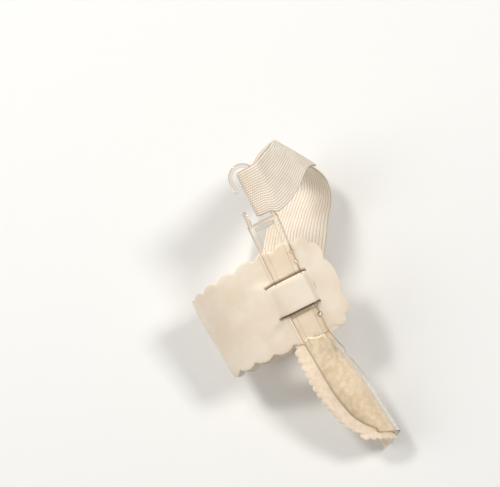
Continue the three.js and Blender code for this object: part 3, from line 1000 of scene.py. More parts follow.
@dataclass(frozen=True)
class Leatherette:
    """Cream pressed leatherette on a pale knitted backing."""

    face: Colour = srgb(240, 228, 209)
    # This darker colour carries the random tone of handling and the painted shade in the grain's creases.
    tone_and_crease_shade: Colour = srgb(232, 215, 192)
    backing: Colour = srgb(245, 236, 221)
    # Painted shade: the slots' edges turn dark brown where shadow falls into the slot.
    slot_shade_colour: Colour = srgb(118, 74, 42)
    slot_shade_strength: float = 0.95
    # Painted shade: how far the grain's creases darken toward the darker colour.
    crease_shade: float = 0.35
    roughness: float = 0.42
    backing_roughness: float = 0.85
    mark_dulling: float = 0.2
    gloss: float = 0.45
    depth: float = 0.045
    face_range: Range = (0.55, 0.8)

    def make(self, effects: Effects) -> bpy.types.Material:
        """Build the material.

        Args:
            effects: The shared effects.

        Returns:
            The material.
        """
        material, n, shader = new_material("cream_leatherette")
        grain = effects.grain.place(n, Size=0.55, Crease=0.5)
        wear = effects.wear.place(n, Spread=16.0, Marks=0.4)
        fibres = effects.fibres.place(n, Size=0.4, Tufts=0.5)
        is_face = n.between(n.mask("upper"), self.face_range)
        cloudy = n.blend(wear.outputs["Clouds"], self.face, self.tone_and_crease_shade)
        # Painted shade in the grain's creases.
        crease_shading = n.between(grain.outputs["Mask"], FULL, (self.crease_shade, 0.0))
        backed = n.blend(is_face, self.backing, n.blend(crease_shading, cloudy, self.tone_and_crease_shade))
        # Painted shade: dark brown along the slots' edges, where shadow falls into the slot.
        slot_shading = n.maths("MULTIPLY", n.mask("slot_shade_mask"), self.slot_shade_strength)
        colour = n.blend(slot_shading, backed, self.slot_shade_colour)
        plain = n.between(is_face, FULL, (self.backing_roughness, self.roughness))
        rough = n.maths("ADD", plain, n.maths("MULTIPLY", wear.outputs["Marks"], self.mark_dulling))
        height = n.add("Mix", data_type="FLOAT")
        heights = (is_face, fibres.outputs["Height"], grain.outputs["Height"])
        for index, value in zip(MIX_NUMBERS, heights):
            n.feed(height.inputs[index], value)
        shader.inputs["Specular IOR Level"].default_value = self.gloss
        dress(n, shader, colour, rough, height.outputs[0], self.depth)
        return material


@dataclass(frozen=True)
class RibbedElastic:
    """Cream elastic with lengthwise ribs bound by fine cross threads."""

    rib: Colour = srgb(250, 244, 233)
    # A darker colour for painted shade in the grooves between ribs and between cross threads, and for the
    # random tone of handling.
    groove_shade_and_tone: Colour = srgb(208, 186, 158)
    pick: float = 0.95
    pitch: float = 1.25
    # Painted shade between the cross threads, deeper near the fold.
    crossing_shade_flat: float = 0.22
    crossing_shade_folded: float = 0.62
    cloud_tone: float = 0.25
    roughness: float = 0.78
    clouded_roughness: float = 0.88
    gloss: float = 0.3
    sheen: float = 0.15
    thread_rise: float = 0.8
    fibre_rise: float = 0.35
    depth: float = 0.09

    def make(self, effects: Effects) -> bpy.types.Material:
        """Build the material.

        Args:
            effects: The shared effects.

        Returns:
            The material.
        """
        material, n, shader = new_material("cream_elastic")
        lay = n.add("SeparateXYZ", Vector=n.add("UVMap", uv_map="lay").outputs["UV"])
        along = n.maths("DIVIDE", lay.outputs["X"], self.pick * MM)
        across = n.maths("DIVIDE", lay.outputs["Y"], self.pitch * MM)
        brick = n.maths("MULTIPLY", n.maths("FLOOR", across), 0.5)
        wave = n.maths("COSINE", n.maths("MULTIPLY", n.maths("ADD", along, brick), 2 * pi))
        thread = n.between(wave, (-1.0, 1.0))
        wear = effects.wear.place(n, Spread=11.0, Marks=0.3)
        fibres = effects.fibres.place(n, Size=0.22, Tufts=0.3)
        # Painted shade: grooves between ribs and dips between cross threads are darkened, more near the
        # fold; the lit ribs keep the light colour.
        depth = n.between(n.mask("fold"), FULL, (self.crossing_shade_flat, self.crossing_shade_folded))
        crossing_shade = n.maths("MULTIPLY", n.between(thread, FULL, FADING), depth)
        lit = n.maths("MULTIPLY", n.mask("rib"), n.maths("SUBTRACT", 1.0, crossing_shade))
        cloud = n.maths("MULTIPLY", wear.outputs["Clouds"], self.cloud_tone)
        colour = n.blend(cloud, n.blend(lit, self.groove_shade_and_tone, self.rib), self.groove_shade_and_tone)
        rough = n.between(wear.outputs["Clouds"], FULL, (self.roughness, self.clouded_roughness))
        fibre = n.maths("MULTIPLY", fibres.outputs["Height"], self.fibre_rise)
        height = n.maths("ADD", n.maths("MULTIPLY", thread, self.thread_rise), fibre)
        shader.inputs["Specular IOR Level"].default_value = self.gloss
        shader.inputs["Sheen Weight"].default_value = self.sheen
        dress(n, shader, colour, rough, height, self.depth)
        return material


@dataclass(frozen=True)
class SoftSheet:
    """A soft pressed sheet with matted fibres: the liner or the padding."""

    name: str
    light: Colour
    dark: Colour
    fibre: float
    depth: float
    roughness: float
    rim: Colour = srgb(252, 243, 228)
    rim_top: Range = (0.75, 0.98)
    rim_low: Range = (0.02, 0.2)
    cloud_tone: float = 0.3
    cloud_dulling: float = 0.08
    gloss: float = 0.3
    sheen: float = 0.2

    def make(self, effects: Effects) -> bpy.types.Material:
        """Build the material.

        Args:
            effects: The shared effects.

        Returns:
            The material.
        """
        material, n, shader = new_material(self.name)
        fibres = effects.fibres.place(n, Size=self.fibre, Tufts=1.2)
        wear = effects.wear.place(n, Spread=12.0, Marks=0.7)
        tufted = n.blend(fibres.outputs["Mask"], self.dark, self.light)
        cloud = n.maths("MULTIPLY", wear.outputs["Clouds"], self.cloud_tone)
        clouded = n.blend(cloud, tufted, self.light)
        upper = n.mask("upper")
        under_face = n.between(upper, self.rim_top, FADING)
        on_rim = n.maths("MULTIPLY", under_face, n.between(upper, self.rim_low))
        colour = n.blend(on_rim, clouded, self.rim)
        ends = (self.roughness, self.roughness + self.cloud_dulling)
        rough = n.between(wear.outputs["Clouds"], FULL, ends)
        shader.inputs["Specular IOR Level"].default_value = self.gloss
        shader.inputs["Sheen Weight"].default_value = self.sheen
        dress(n, shader, colour, rough, fibres.outputs["Height"], self.depth)
        return material


LINER_FINISH = SoftSheet(
    "peach_liner", light=srgb(250, 232, 208), dark=srgb(240, 217, 190),
    fibre=0.45, depth=0.08, roughness=0.82)
PADDING_FINISH = SoftSheet(
    "tan_padding", light=srgb(236, 221, 195), dark=srgb(219, 199, 170),
    fibre=0.32, depth=0.08, roughness=0.6)


# Sub-assemblies

@dataclass
class Gutter:
    """The toe gutter's form, which shell, padding and liner share.

    Lengths along the splint are shares of the gutter's reach, the others are
    shares of its radius. The open end is oblique: it runs on from the dorsal
    edge over the top to the plantar edge, which reaches furthest.
    """

    y: tuple[float, ...] = (0.10, 0.18, 0.25, 0.30, 0.35, 0.42, 0.49, 0.56, 0.64, 0.71, 0.77, 0.83)
    crown: tuple[float, ...] = (
        0.10, 0.09, 0.04, -0.04, -0.15, -0.19,
        -0.10, 0.01, 0.11, 0.18, 0.26, 0.34,
    )
    bend: tuple[float, ...] = (0.02, 0.05, 0.16, 0.40, 0.78, 1.0, 1.0, 1.02, 1.05, 1.06, 1.07, 1.08)
    edge: tuple[float, ...] = (
        -0.36, -0.35, -0.34, -0.32, -0.29, -0.265,
        -0.24, -0.20, -0.10, 0.03, 0.24, 0.56,
    )
    lining: tuple[float, ...] = (
        -0.50, -0.52, -0.60, -0.75, -0.80, -0.82,
        -0.82, -0.78, -0.69, -0.56, -0.38, -0.06,
    )
    wrap: tuple[float, ...] = (0.44, 0.45, 0.51, 0.68, 0.95, 1.42, 1.9, 2.25, 2.45, 2.55, 2.60, 2.62)
    drop: tuple[float, ...] = (0, 0, 0, 0, 0, 0, 0.01, 0.02, 0.04, 0.06, 0.09, 0.12)
    straightest: float = 0.01
    lean_start: float = 0.6
    top_rise: float = 2.4
    plantar_start: float = 0.35

    def read(self, column: Sequence[float], share: Array) -> Array:
        """One column of the table."""
        return read_column(self.y, column, share)

    def edge_girth(self, share: Array, column: Sequence[float]) -> Array:
        """The girth from the crown at which a dorsal edge lies.

        Args:
            share: Places along the splint.
            column: The table's column for the edge.

        Returns:
            The girth at each place.
        """
        reach = (self.read(column, share) - self.read(self.crown, share)) * GUTTER.radius
        bend = np.maximum(self.straightest, self.read(self.bend, share))
        side = GUTTER.radius / bend * np.where(reach < 0, GUTTER.flatness, 1.0)
        return side * np.arcsin(np.clip(reach / side, -1, 1))

    def place(self, share: Array, g: Array, depth: Array) -> tuple[Array, Array]:
        """The form at a girth from the crown, a depth under its outer face.

        Args:
            share: Places along the splint.
            g: Girths outward from the crown.
            depth: Depths under the shell's outer face.

        Returns:
            The points and their outward normals.
        """
        radius = GUTTER.radius / np.maximum(self.straightest, self.read(self.bend, share))
        side = np.where(g < 0, radius * GUTTER.flatness, radius)
        angle = g / side
        outer = SPLINT.thickness / 2 - self.read(self.drop, share) * GUTTER.radius
        x = self.read(self.crown, share) * GUTTER.radius + np.sin(angle) * (side - depth)
        h = outer - side + np.cos(angle) * (side - depth)
        point = BAR.at(x, -share * GUTTER.reach, h)
        turn = np.stack([np.sin(angle), np.zeros_like(angle), np.zeros_like(angle)], axis=-1)
        return point, unit(turn + np.cos(angle)[..., None] * BAR.up)

    def slide(self, level: Array, v: Array, inset: float) -> Array:
        """How far the oblique open end carries a place along.

        Args:
            level: Places along the splint.
            v: Shares of the way across.
            inset: How far the layer's edge lies inside the shell's.

        Returns:
            The slide in millimetres, away from the hook.
        """
        lean = ease((level - self.lean_start) / (GUTTER.end_dorsal - self.lean_start))
        far = lerp(GUTTER.end_dorsal, GUTTER.end_tip, np.minimum(1, v * self.top_rise))
        plantar = 1 - inset / GUTTER.reach
        past = ease((v - self.plantar_start) / (1 - self.plantar_start))
        return (lerp(far, plantar, past) - GUTTER.end_dorsal) * lean * GUTTER.reach


PINK_SHARPNESS = 0.8


def scallop(length: float | Array) -> Array:
    """The rise of the band's scalloped edge over its valleys."""
    t = np.asarray(length) / CUFF.scallop_pitch % 1.0
    return CUFF.scallop_rise * 4 * t * (1 - t)


def pinks(length: Array, depth: float) -> Array:
    """The wave of the liner's pinked edge along its length."""
    turn = np.abs(np.sin(pi * (length / GUTTER.pink_pitch + 0.5)))
    return depth * (2 * turn ** PINK_SHARPNESS - 1)


TOE = Gutter()
LAYER_GAP = 1.3 * FIT.clearance
LINING_START = (CUFF.width / 2 + CUFF.scallop_rise + 2 * FIT.clearance) / GUTTER.reach


@dataclass
class Splint:
    """The clear moulding: hook, railed bar, nubs and toe shell.

    The blade's lengths are in millimetres and its margins across are shares of
    the bar's width. A rounded end's steps each hold a length and a narrowing.
    """

    bar_columns: int = 64
    shell_columns: int = 190
    rail_rows: int = 6
    step_rows: int = 4
    web_rows: int = 26
    lay_width: float = 12.0
    join_y: float = 36.2
    rod_overlap: float = 1.4
    rail_end_y: float = -26.0
    rail_fade: float = 8.0
    web_start: float = 1.6
    web_fade: float = 1.2
    thinning: float = 6.0
    slim_y: float = 8.0
    slim: float = 0.2
    inner_step: float = 0.3
    outer_flare: float = 0.7
    window_run: float = 4.0
    web_step: float = 0.012
    web_close: float = 0.008
    rail_margin: float = 0.02
    web_margin: float = 0.03
    rod_edge: float = 0.8
    rod_bevels: int = 5
    rod_corner: float = 50.0
    ring_steps: int = 26
    end_steps: tuple[tuple[float, float], ...] = ((0.55, 0.86), (0.35, 0.72), (0.15, 0.5))
    tip_over: float = 0.6
    lip_under: float = 1.0
    nub_stand: float = 0.1
    nub_shape: tuple[float, ...] = (1.3, 1.4, 1.15, 1)
    nub_segments: int = 20
    nub_rings: int = 12
    # The turn at which the painted shade along the plastic's edges is full.
    edge_shade_turn: float = 40.0
    smooth_angle: float = 42.0

    def _bar_edges(self, y: Array) -> tuple[Array, Array]:
        """Where the bar begins and ends across.

        Args:
            y: Places along the bar.

        Returns:
            The inner and the outer edge at each place.
        """
        inner, outer = SPLINT.bar_inner_x, SPLINT.bar_outer_x
        ring = SPLINT.ring_x + SPLINT.hook_width / 2
        stepped = inner + self.inner_step
        keys = (-SPLINT.blade_tail, self.slim_y, SPLINT.window_low, SPLINT.window_low + self.window_run)
        low = np.interp(y, keys, (inner - SPLINT.blade_flare, inner, stepped, stepped))
        high = np.interp(y, keys, (outer - self.outer_flare, outer - self.slim, ring, ring))
        return low, high

    def _ladder(self, rail: float) -> Array:
        """Places across the bar, close together where the web steps down from a rail.

        Args:
            rail: The rail's share of the bar's width.

        Returns:
            The shares of the way across.
        """
        side = np.concatenate([
            np.linspace(0, rail - self.rail_margin, self.rail_rows),
            np.linspace(rail - self.web_close, rail + self.web_step, self.step_rows),
        ])
        web = np.linspace(rail + self.web_margin, 1 - rail - self.web_margin, self.web_rows)
        return np.concatenate([side, web, 1 - side[::-1]])

    def _blade(self) -> bpy.types.Object:
        """The bar and the toe shell as one sheet with a rail along each side.

        Returns:
            The closed sheet.
        """
        start = -SPLINT.shell_start * GUTTER.reach
        flat = np.linspace(self.join_y, start, self.bar_columns, endpoint=False)
        rail = SPLINT.rail / SPLINT.bar_width
        v = self._ladder(rail)
        low, high = self._bar_edges(flat)
        x = lerp(low[:, None], high[:, None], v[None, :])
        bar_points = BAR.at(x, flat[:, None], 0.0)
        bar_normals = np.broadcast_to(BAR.up, bar_points.shape)
        share = np.linspace(SPLINT.shell_start, GUTTER.end_dorsal, self.shell_columns)
        level, across = np.broadcast_arrays(share[:, None], v[None, :])
        inner = TOE.edge_girth(share, TOE.edge)
        outer = TOE.read(TOE.wrap, share) * GUTTER.radius
        g = lerp(inner[:, None], outer[:, None], across)
        shell_points, shell_normals = TOE.place(level, g, np.full(g.shape, SPLINT.shell / 2))
        shell_points = shell_points - TOE.slide(level, across, 0.0)[..., None] * BAR.along
        points = np.concatenate([bar_points, shell_points])
        normals = np.concatenate([bar_normals, shell_normals])
        run = np.concatenate([flat, -share * GUTTER.reach])
        thinned = ease((start - run) / self.thinning)
        railed = ease((run - self.rail_end_y) / self.rail_fade)
        opened = ease((self.join_y - self.web_start - run) / self.web_fade)
        web = np.minimum(ease((v - rail) / self.web_step), ease((1 - rail - v) / self.web_step))
        down = np.repeat(lerp(SPLINT.thickness / 2, SPLINT.shell / 2, thinned)[:, None], len(v), axis=1)
        up = down - (SPLINT.thickness - SPLINT.web) * (railed * opened)[:, None] * web[None, :]
        sheet = Surface.of_grid(points, normals, up, down, run[:, None], v * self.lay_width)
        return sheet.build("splint_shell")

    def _rod(self, name: str, x: float, start: float, straight: float) -> bpy.types.Object:
        """A square rod that runs hookward from the bar, in edit mode.

        Args:
            name: The object's name.
            x: The rod's middle across the bar.
            start: Where it leaves the bar.
            straight: How far its straight part runs.

        Returns:
            The rod with its far end selected, still in edit mode.
        """
        deselect()
        bpy.ops.mesh.primitive_plane_add(
            size=SPLINT.rail * MM, location=(x * MM, start * MM, 0), rotation=(-pi / 2, 0, 0))
        obj = bpy.context.object
        obj.name = name
        obj.scale = (1, SPLINT.thickness / SPLINT.rail, 1)
        bpy.ops.object.transform_apply(location=True, rotation=True, scale=True)
        bpy.ops.object.mode_set(mode="EDIT")
        bpy.ops.mesh.select_all(action="SELECT")
        self._extend(straight)
        return obj

    @staticmethod
    def _extend(length: float) -> None:
        """Run a rod's selected end on along the bar."""
        bpy.ops.mesh.extrude_region_move(TRANSFORM_OT_translate={"value": (0, length * MM, 0)})

    def _round_end(self, toward: int) -> None:
        """Round a rod's selected end in short narrowing steps.

        Args:
            toward: 1 for an end that faces hookward, -1 for one that faces back.
        """
        for step, size in self.end_steps:
            self._extend(toward * step)
            bpy.ops.transform.resize(value=(size, 1, size))

    def _finish_rod(self, obj: bpy.types.Object) -> bpy.types.Object:
        """Clean a rod, soften its edges and lay it on the splint's plane.

        Args:
            obj: The rod, in edit mode.

        Returns:
            The finished rod.
        """
        bpy.ops.mesh.select_all(action="DESELECT")
        bpy.ops.mesh.select_mode(type="FACE")
        bpy.ops.mesh.select_interior_faces()
        bpy.ops.mesh.delete(type="FACE")
        bpy.ops.mesh.select_all(action="SELECT")
        bpy.ops.mesh.remove_doubles(threshold=1e-6)
        bpy.ops.mesh.normals_make_consistent(inside=False)
        bpy.ops.object.mode_set(mode="OBJECT")
        bevel = obj.modifiers.new("soft_edges", "BEVEL")
        bevel.width = self.rod_edge * MM
        bevel.segments = self.rod_bevels
        bevel.limit_method = "ANGLE"
        bevel.angle_limit = radians(self.rod_corner)
        apply_all(obj)
        obj.data.transform(BAR.matrix())
        return obj

    def _hook(self) -> bpy.types.Object:
        """The open hook: outer rail, half ring and free tip.

        Returns:
            The hook on its rail.
        """
        half = SPLINT.hook_width / 2 - SPLINT.rail / 2
        ring_y = SPLINT.hook_reach - SPLINT.hook_width / 2
        start = self.join_y - self.rod_overlap
        obj = self._rod("splint_hook", SPLINT.ring_x + half, start, ring_y - start)
        middle = (SPLINT.ring_x * MM, ring_y * MM, 0)
        bpy.ops.mesh.spin(steps=self.ring_steps, angle=-pi, center=middle, axis=(0, 0, 1))
        tip = SPLINT.window_low + SPLINT.lip_over_window + SPLINT.hook_mouth
        self._extend(tip + self.tip_over - ring_y)
        self._round_end(-1)
        return self._finish_rod(obj)

    def _lip(self) -> bpy.types.Object:
        """The short lip that the inner rail ends in.

        Returns:
            The lip.
        """
        x = SPLINT.bar_inner_x + self.inner_step + SPLINT.rail / 2
        start = self.join_y - self.rod_overlap
        top = SPLINT.window_low + SPLINT.lip_over_window
        obj = self._rod("splint_lip", x, start, top - self.lip_under - start)
        self._round_end(1)
        return self._finish_rod(obj)

    def _nubs(self) -> list[bpy.types.Object]:
        """The small nubs on the bar's outer edge, clear of the band.

        Returns:
            One object for each nub.
        """
        nubs = []
        outer, tail = SPLINT.bar_outer_x, SPLINT.blade_tail
        for i in range(SPLINT.nub_count):
            y = SPLINT.nub_start_y - i * SPLINT.nub_pitch
            if abs(y) < CUFF.slot_spacing / 2 + SPLINT.nub_radius:
                continue
            deselect()
            share = (y + tail) / (SPLINT.nub_start_y + tail)
            x = lerp(outer - SPLINT.blade_flare, outer + self.nub_stand, share)
            bpy.ops.mesh.primitive_uv_sphere_add(
                segments=self.nub_segments, ring_count=self.nub_rings, radius=SPLINT.nub_radius * MM)
            obj = bpy.context.object
            obj.name = f"nub_{i}"
            place = Matrix.Translation((x * MM, y * MM, 0)) @ Matrix.Diagonal(self.nub_shape)
            obj.data.transform(BAR.matrix() @ place)
            nubs.append(obj)
        return nubs

    def build(self, effects: Effects) -> bpy.types.Object:
        """Model the moulding, fuse its parts and dress it.

        Args:
            effects: The shared effects.

        Returns:
            The moulding.
        """
        body = self._blade()
        for part in (self._hook(), self._lip(), *self._nubs()):
            union = body.modifiers.new("fuse", "BOOLEAN")
            union.operation = "UNION"
            union.solver = "EXACT"
            union.object = part
            apply_all(body)
            bpy.data.objects.remove(part)
        # The edge mask places the painted shade along the sharp edges.
        mark_edges(body, "edge", self.edge_shade_turn)
        smooth(body, self.smooth_angle)
        body.name = "clear_splint"
        body.data.materials.clear()
        body.data.materials.append(ClearPlastic().make(effects))
        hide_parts("splint")
        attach(body, "root")
        return body


@dataclass
class ToeLining:
    """The tan panel under the shell and the soft liner under both.

    The panel keeps its own width along the bar and fills the shell from where
    the gutter has opened, by shares of the gutter's reach.
    """

    columns: int = 230
    rows: int = 66
    panel_inset: float = 0.4
    panel_width: float = 9.5
    fill_start: float = 0.25
    fill_run: float = 0.16
    end_run: float = 6.0
    rim_share: float = 0.55
    rim_run: float = 1.6
    smooth_angle: float = 60.0

    def _layer(self, column: Sequence[float], inset: float, depth: float, thickness: float,
               width: float, pink: float) -> Surface:
        """One layer from its dorsal edge round to its plantar edge.

        Args:
            column: The table's column for the dorsal edge.
            inset: How far its edges lie inside the shell's.
            depth: Its middle's depth under the shell's outer face.
            thickness: Its thickness.
            width: Its width along the bar, or 0 where it fills the shell.
            pink: The depth of its pinked edge.

        Returns:
            The layer's surface.
        """
        level = np.linspace(LINING_START, GUTTER.end_dorsal - inset / GUTTER.reach, self.columns)
        v = (1 - np.cos(np.linspace(0, pi, self.rows))) / 2 * 0.5 + np.linspace(0, 1, self.rows) * 0.5
        inner = TOE.edge_girth(level, column) + inset
        full = TOE.read(TOE.wrap, level) * GUTTER.radius - inset
        filled = ease((level - self.fill_start) / self.fill_run)
        outer = lerp(inner + width, full, filled) if width else full
        wave = pinks(level * GUTTER.reach, pink)
        g = lerp((inner - wave)[:, None], outer[:, None], v[None, :])
        grid, across = np.broadcast_arrays(level[:, None], v[None, :])
        points, normals = TOE.place(grid, g, np.full(g.shape, depth))
        run = grid * GUTTER.reach
        by_cuff = 1 - ease((run - LINING_START * GUTTER.reach) / self.end_run)
        by_end = ease((run - level[-1] * GUTTER.reach) / self.end_run + 1) * (across > 0)
        scalloped = (CUFF.scallop_rise - scallop(CUFF.slot_outer - points[..., 0])) * by_cuff
        slid = scalloped - pinks(g, pink) * by_end - TOE.slide(grid, across, inset)
        points = points + slid[..., None] * BAR.along
        edge = np.minimum(g - g[:, :1], g[:, -1:] - g)
        soft = lerp(self.rim_share, 1.0, np.sqrt(np.clip(edge / self.rim_run, 0, 1)))
        half = thickness / 2 * soft
        return Surface.of_grid(points, normals, half, half, run, g)

    def build(self, effects: Effects) -> list[bpy.types.Object]:
        """Model and dress both layers.

        Args:
            effects: The shared effects.

        Returns:
            The panel and the liner.
        """
        padding_depth = SPLINT.shell + LAYER_GAP + GUTTER.padding / 2
        liner_depth = SPLINT.shell + GUTTER.padding + 2 * LAYER_GAP + GUTTER.liner / 2
        panel = self._layer(TOE.edge, self.panel_inset, padding_depth, GUTTER.padding, self.panel_width, 0.0)
        liner = self._layer(TOE.lining, 0.0, liner_depth, GUTTER.liner, 0.0, GUTTER.pink_depth)
        length = (GUTTER.reach - LINING_START * GUTTER.reach) * MM
        layers = []
        for name, surface, node, slot, finish, under in (
            ("tan_panel", panel, "shell_padding", Slot.TAN_PADDING, PADDING_FINISH, "splint"),
            ("soft_liner", liner, "toe_liner", Slot.PEACH_LINER, LINER_FINISH, "shell_padding"),
        ):
            obj = surface.build(name)
            smooth(obj, self.smooth_angle)
            obj.data.materials.append(finish.make(effects))
            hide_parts(node)
            surface.area() / length
            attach(obj, "root")
            layers.append(obj)
        return layers


@dataclass(frozen=True)
class Wrinkles:
    """Shallow pulls in the leather: depths, places and runs in millimetres.

    Waves are in radians for each millimetre along and across the band.
    """

    pull_depth: float = 0.06
    pull_wave: tuple[float, float] = (0.55, 0.12)
    pull_middle: float = -16.0
    pull_reach: float = 9.0
    swell_depth: float = 0.16
    swell_wave: tuple[float, float] = (0.12, 0.33)
    swell_phase: tuple[float, float] = (1.1, 0.7)
    calm_middle: float = -30.0
    calm_reach: float = 40.0
    bridge_middle: float = 2.0
    bridge_reach: float = 9.0
    bridge_run: float = 6.0
    slots_end: float = 7.0
    slots_run: float = 6.0
    border: float = 21.0
    border_run: float = 4.0

    def rise(self, s: Array, v: Array) -> Array:
        """The rise of the leather, off the bridge and inside the border.

        Args:
            s: Girths from the splint's line.
            v: Places across the band.

        Returns:
            The rise in millimetres.
        """
        wave = self.pull_wave
        near = np.exp(-((s - self.pull_middle) / self.pull_reach) ** 2)
        pull = self.pull_depth * np.sin(s * wave[0] + v * wave[1]) * near
        wave, phase = self.swell_wave, self.swell_phase
        swell = self.swell_depth * np.sin(v * wave[1] + phase[1]) * np.sin(s * wave[0] + phase[0])
        swell = swell * lerp(0.5, 1.0, ease(np.abs(s - self.calm_middle) / self.calm_reach))
        inside = ease((np.abs(v) - self.slots_end) / self.slots_run)
        inside = inside * ease((self.border - np.abs(v)) / self.border_run)
        off_bridge = ease((np.abs(s - self.bridge_middle) - self.bridge_reach) / self.bridge_run)
        return (pull + swell) * inside * off_bridge


@dataclass
class FootCuff:
    """The leatherette band with scalloped edges and two cross slots."""

    scallop_steps: int = 12
    flank_steps: int = 11
    bridge_steps: int = 9
    bar_steps: int = 22
    outer_steps: int = 4
    inner_steps: int = 8
    rays: int = 132
    end_squareness: float = 0.72
    end_reach: int = 32
    # How far the painted shade beside the slots spreads, and how far past the slots' ends it runs.
    slot_shade_spread: float = 0.6
    slot_shade_overrun: float = 0.1
    near: float = 0.01
    dip_spread: float = 6.0
    dip_inner: float = 12.0
    dip_outer: float = 7.0
    smooth_angle: float = 55.0
    under_ends: tuple[Array, Array] = field(init=False, repr=False)

    def __post_init__(self) -> None:
        """Tabulate where the band's end lies under the form."""
        y = np.arange(-self.end_reach, self.end_reach + 1.0)
        self.under_ends = (y, FORM.under_girth(CUFF.sole_end_x, y))

    def _end_girth(self, y: Array) -> Array:
        """The girth of the band's end at places along the form."""
        return np.interp(y, *self.under_ends)

    def _yield(self, x: Array, v: Array) -> Array:
        """How far the leather gives way to the splint.

        It does so between the slots' ends, and over a longer way further out.

        Args:
            x: Girths from the splint's line.
            v: Places across the band.

        Returns:
            Shares from 0 to 1.
        """
        held_in = SPLINT.bar_inner_x - FIT.clearance
        held_out = SPLINT.bar_outer_x + FIT.clearance
        away = ease((np.abs(v) - CUFF.slot_spacing / 2) / self.dip_spread)
        start_in = -CUFF.slot_inner - self.dip_inner * away
        start_out = CUFF.slot_outer + self.dip_outer * away
        inner = (x - start_in) / (held_in - start_in)
        outer = (start_out - x) / (start_out - held_out)
        return np.minimum(ease(inner), lerp(np.clip(outer, 0, 1), ease(outer), away))

    def _place(self, along: Array, across: Array, bridge: Array) -> tuple[Array, Array]:
        """The band's middle surface and normals.

        Args:
            along: Girths from the splint's line.
            across: Places across the band.
            bridge: 1 over the splint, 0 under it.

        Returns:
            The points and their outward normals.
        """
        aside = ease((-along - CUFF.slot_inner) / CUFF.side_girth)
        v = across * lerp(1.0, CUFF.side_width / CUFF.width, aside)
        y = v / FORM.stretch(along, np.zeros_like(along)) - CUFF.side_shift * aside
        end = float(self._end_girth(0.0))
        square = ease((along - CUFF.squaring_girth) / (end - CUFF.squaring_girth))
        s = along + square * (self._end_girth(y) - end)
        lift = (SPLINT.thickness + CUFF.thickness) / 2 + FIT.clearance
        hold = self._yield(along, across)[..., None]
        flat = BAR.at(along, v, np.where(bridge > 0, lift, -lift))
        point = lerp(FORM.point(s, y), flat, hold)
        return point, unit(lerp(FORM.normal(s, y), BAR.up, hold))

    def _surface(self) -> Surface:
        """Lay out the band's points and faces.

        Returns:
            The band's surface.
        """
        half = CUFF.width / 2
        slot_in = (CUFF.slot_spacing - CUFF.slot_cut) / 2
        slot_out = (CUFF.slot_spacing + CUFF.slot_cut) / 2
        held_out = SPLINT.bar_outer_x + FIT.clearance
        held_in = SPLINT.bar_inner_x - FIT.clearance
        end = float(self._end_girth(0.0))
        step = CUFF.scallop_pitch / self.scallop_steps
        around = ceil((-CUFF.slot_inner - end) / step)
        columns = np.concatenate([
            np.linspace(CUFF.slot_outer, held_out, self.outer_steps)[:-1],
            np.linspace(held_out, held_in, self.bar_steps),
            np.linspace(held_in, -CUFF.slot_inner, self.inner_steps)[1:],
            np.linspace(-CUFF.slot_inner, end, around + 1)[1:],
        ])
        flank = np.linspace(0, 1, self.flank_steps)
        middle = np.linspace(-slot_in, slot_in, self.bridge_steps)
        points: list[tuple[float, float, float]] = []
        lookup: dict[tuple[float, float, bool], int] = {}
        faces: list[tuple[int, int, int, int]] = []

        def vertex(s: float, v: float, bridge: bool) -> int:
            """The vertex at a place, which neighbouring faces share.

            Args:
                s: Its girth from the splint's line.
                v: Its place across the band.
                bridge: Whether the face lies between the slots.

            Returns:
                Its number.
            """
            over = bool(bridge and -CUFF.slot_inner + self.near < s < CUFF.slot_outer - self.near)
            key = (round(s, 4), round(v, 4), over)
            if key not in lookup:
                lookup[key] = len(points)
                points.append((s, v, float(over)))
            return lookup[key]

        def across(edge: float) -> Array:
            """Places across the band, with both slots kept."""
            out = lerp(slot_out, edge, flank)
            return np.concatenate([-out[::-1], middle, out])

        first_slot = self.flank_steps - 1
        second_slot = self.flank_steps + self.bridge_steps - 1
        for i in range(len(columns) - 1):
            a = across(half + float(scallop(CUFF.slot_outer - columns[i])))
            b = across(half + float(scallop(CUFF.slot_outer - columns[i + 1])))
            opened = columns[i] > -CUFF.slot_inner + self.near
            for j in range(len(a) - 1):
                if opened and j in (first_slot, second_slot):
                    continue
                over = first_slot < j < second_slot
                faces.append((
                    vertex(columns[i], a[j], over), vertex(columns[i], a[j + 1], over),
                    vertex(columns[i + 1], b[j + 1], over), vertex(columns[i + 1], b[j], over),
                ))
        faces += self._round_end(vertex, across(half), half)
        s, v, bridged = np.array(points).T
        place, normal = self._place(s, v, bridged)
        place = place + normal * Wrinkles().rise(s, v)[:, None]
        half_thick = np.full(len(points), CUFF.thickness / 2)
        # The mask of painted shade along the slots' edges.
        masks = {"slot_shade_mask": self._painted_slot_shade(s, v)}
        lay = np.stack([s, v], axis=-1)
        return Surface(place, normal, np.array(faces), half_thick, half_thick, lay, masks)

    def _painted_slot_shade(self, s: Array, v: Array) -> Array:
        """How strongly painted shade darkens the slots' outer edges, where shadow falls into the slot.

        Args:
            s: Girths from the splint's line.
            v: Places across the band.

        Returns:
            Shares from 0 to 1.
        """
        off_slot = np.abs(np.abs(v) - CUFF.slot_spacing / 2) - CUFF.slot_cut / 2
        past_end = np.maximum(-CUFF.slot_inner - s, s - CUFF.slot_outer)
        slot_shading = 1 - ease(np.maximum(off_slot, past_end) / self.slot_shade_spread)
        return slot_shading * (np.abs(v) > CUFF.slot_spacing / 2) * (past_end < self.slot_shade_overrun)

    def _round_end(self, vertex: Callable[[float, float, bool], int], line: Array,
                   half: float) -> list[tuple[int, int, int, int]]:
        """Fan the dorsal end out from the line past the slots.

        Args:
            vertex: Gives the vertex at a place.
            line: The places across on that line.
            half: Half the band's width.

        Returns:
            The end's faces.
        """
        reach = CUFF.dorsal_reach - CUFF.slot_outer
        lobes = round((half + reach * 2) / CUFF.scallop_pitch) + 1
        shares = line[line >= 0] / half

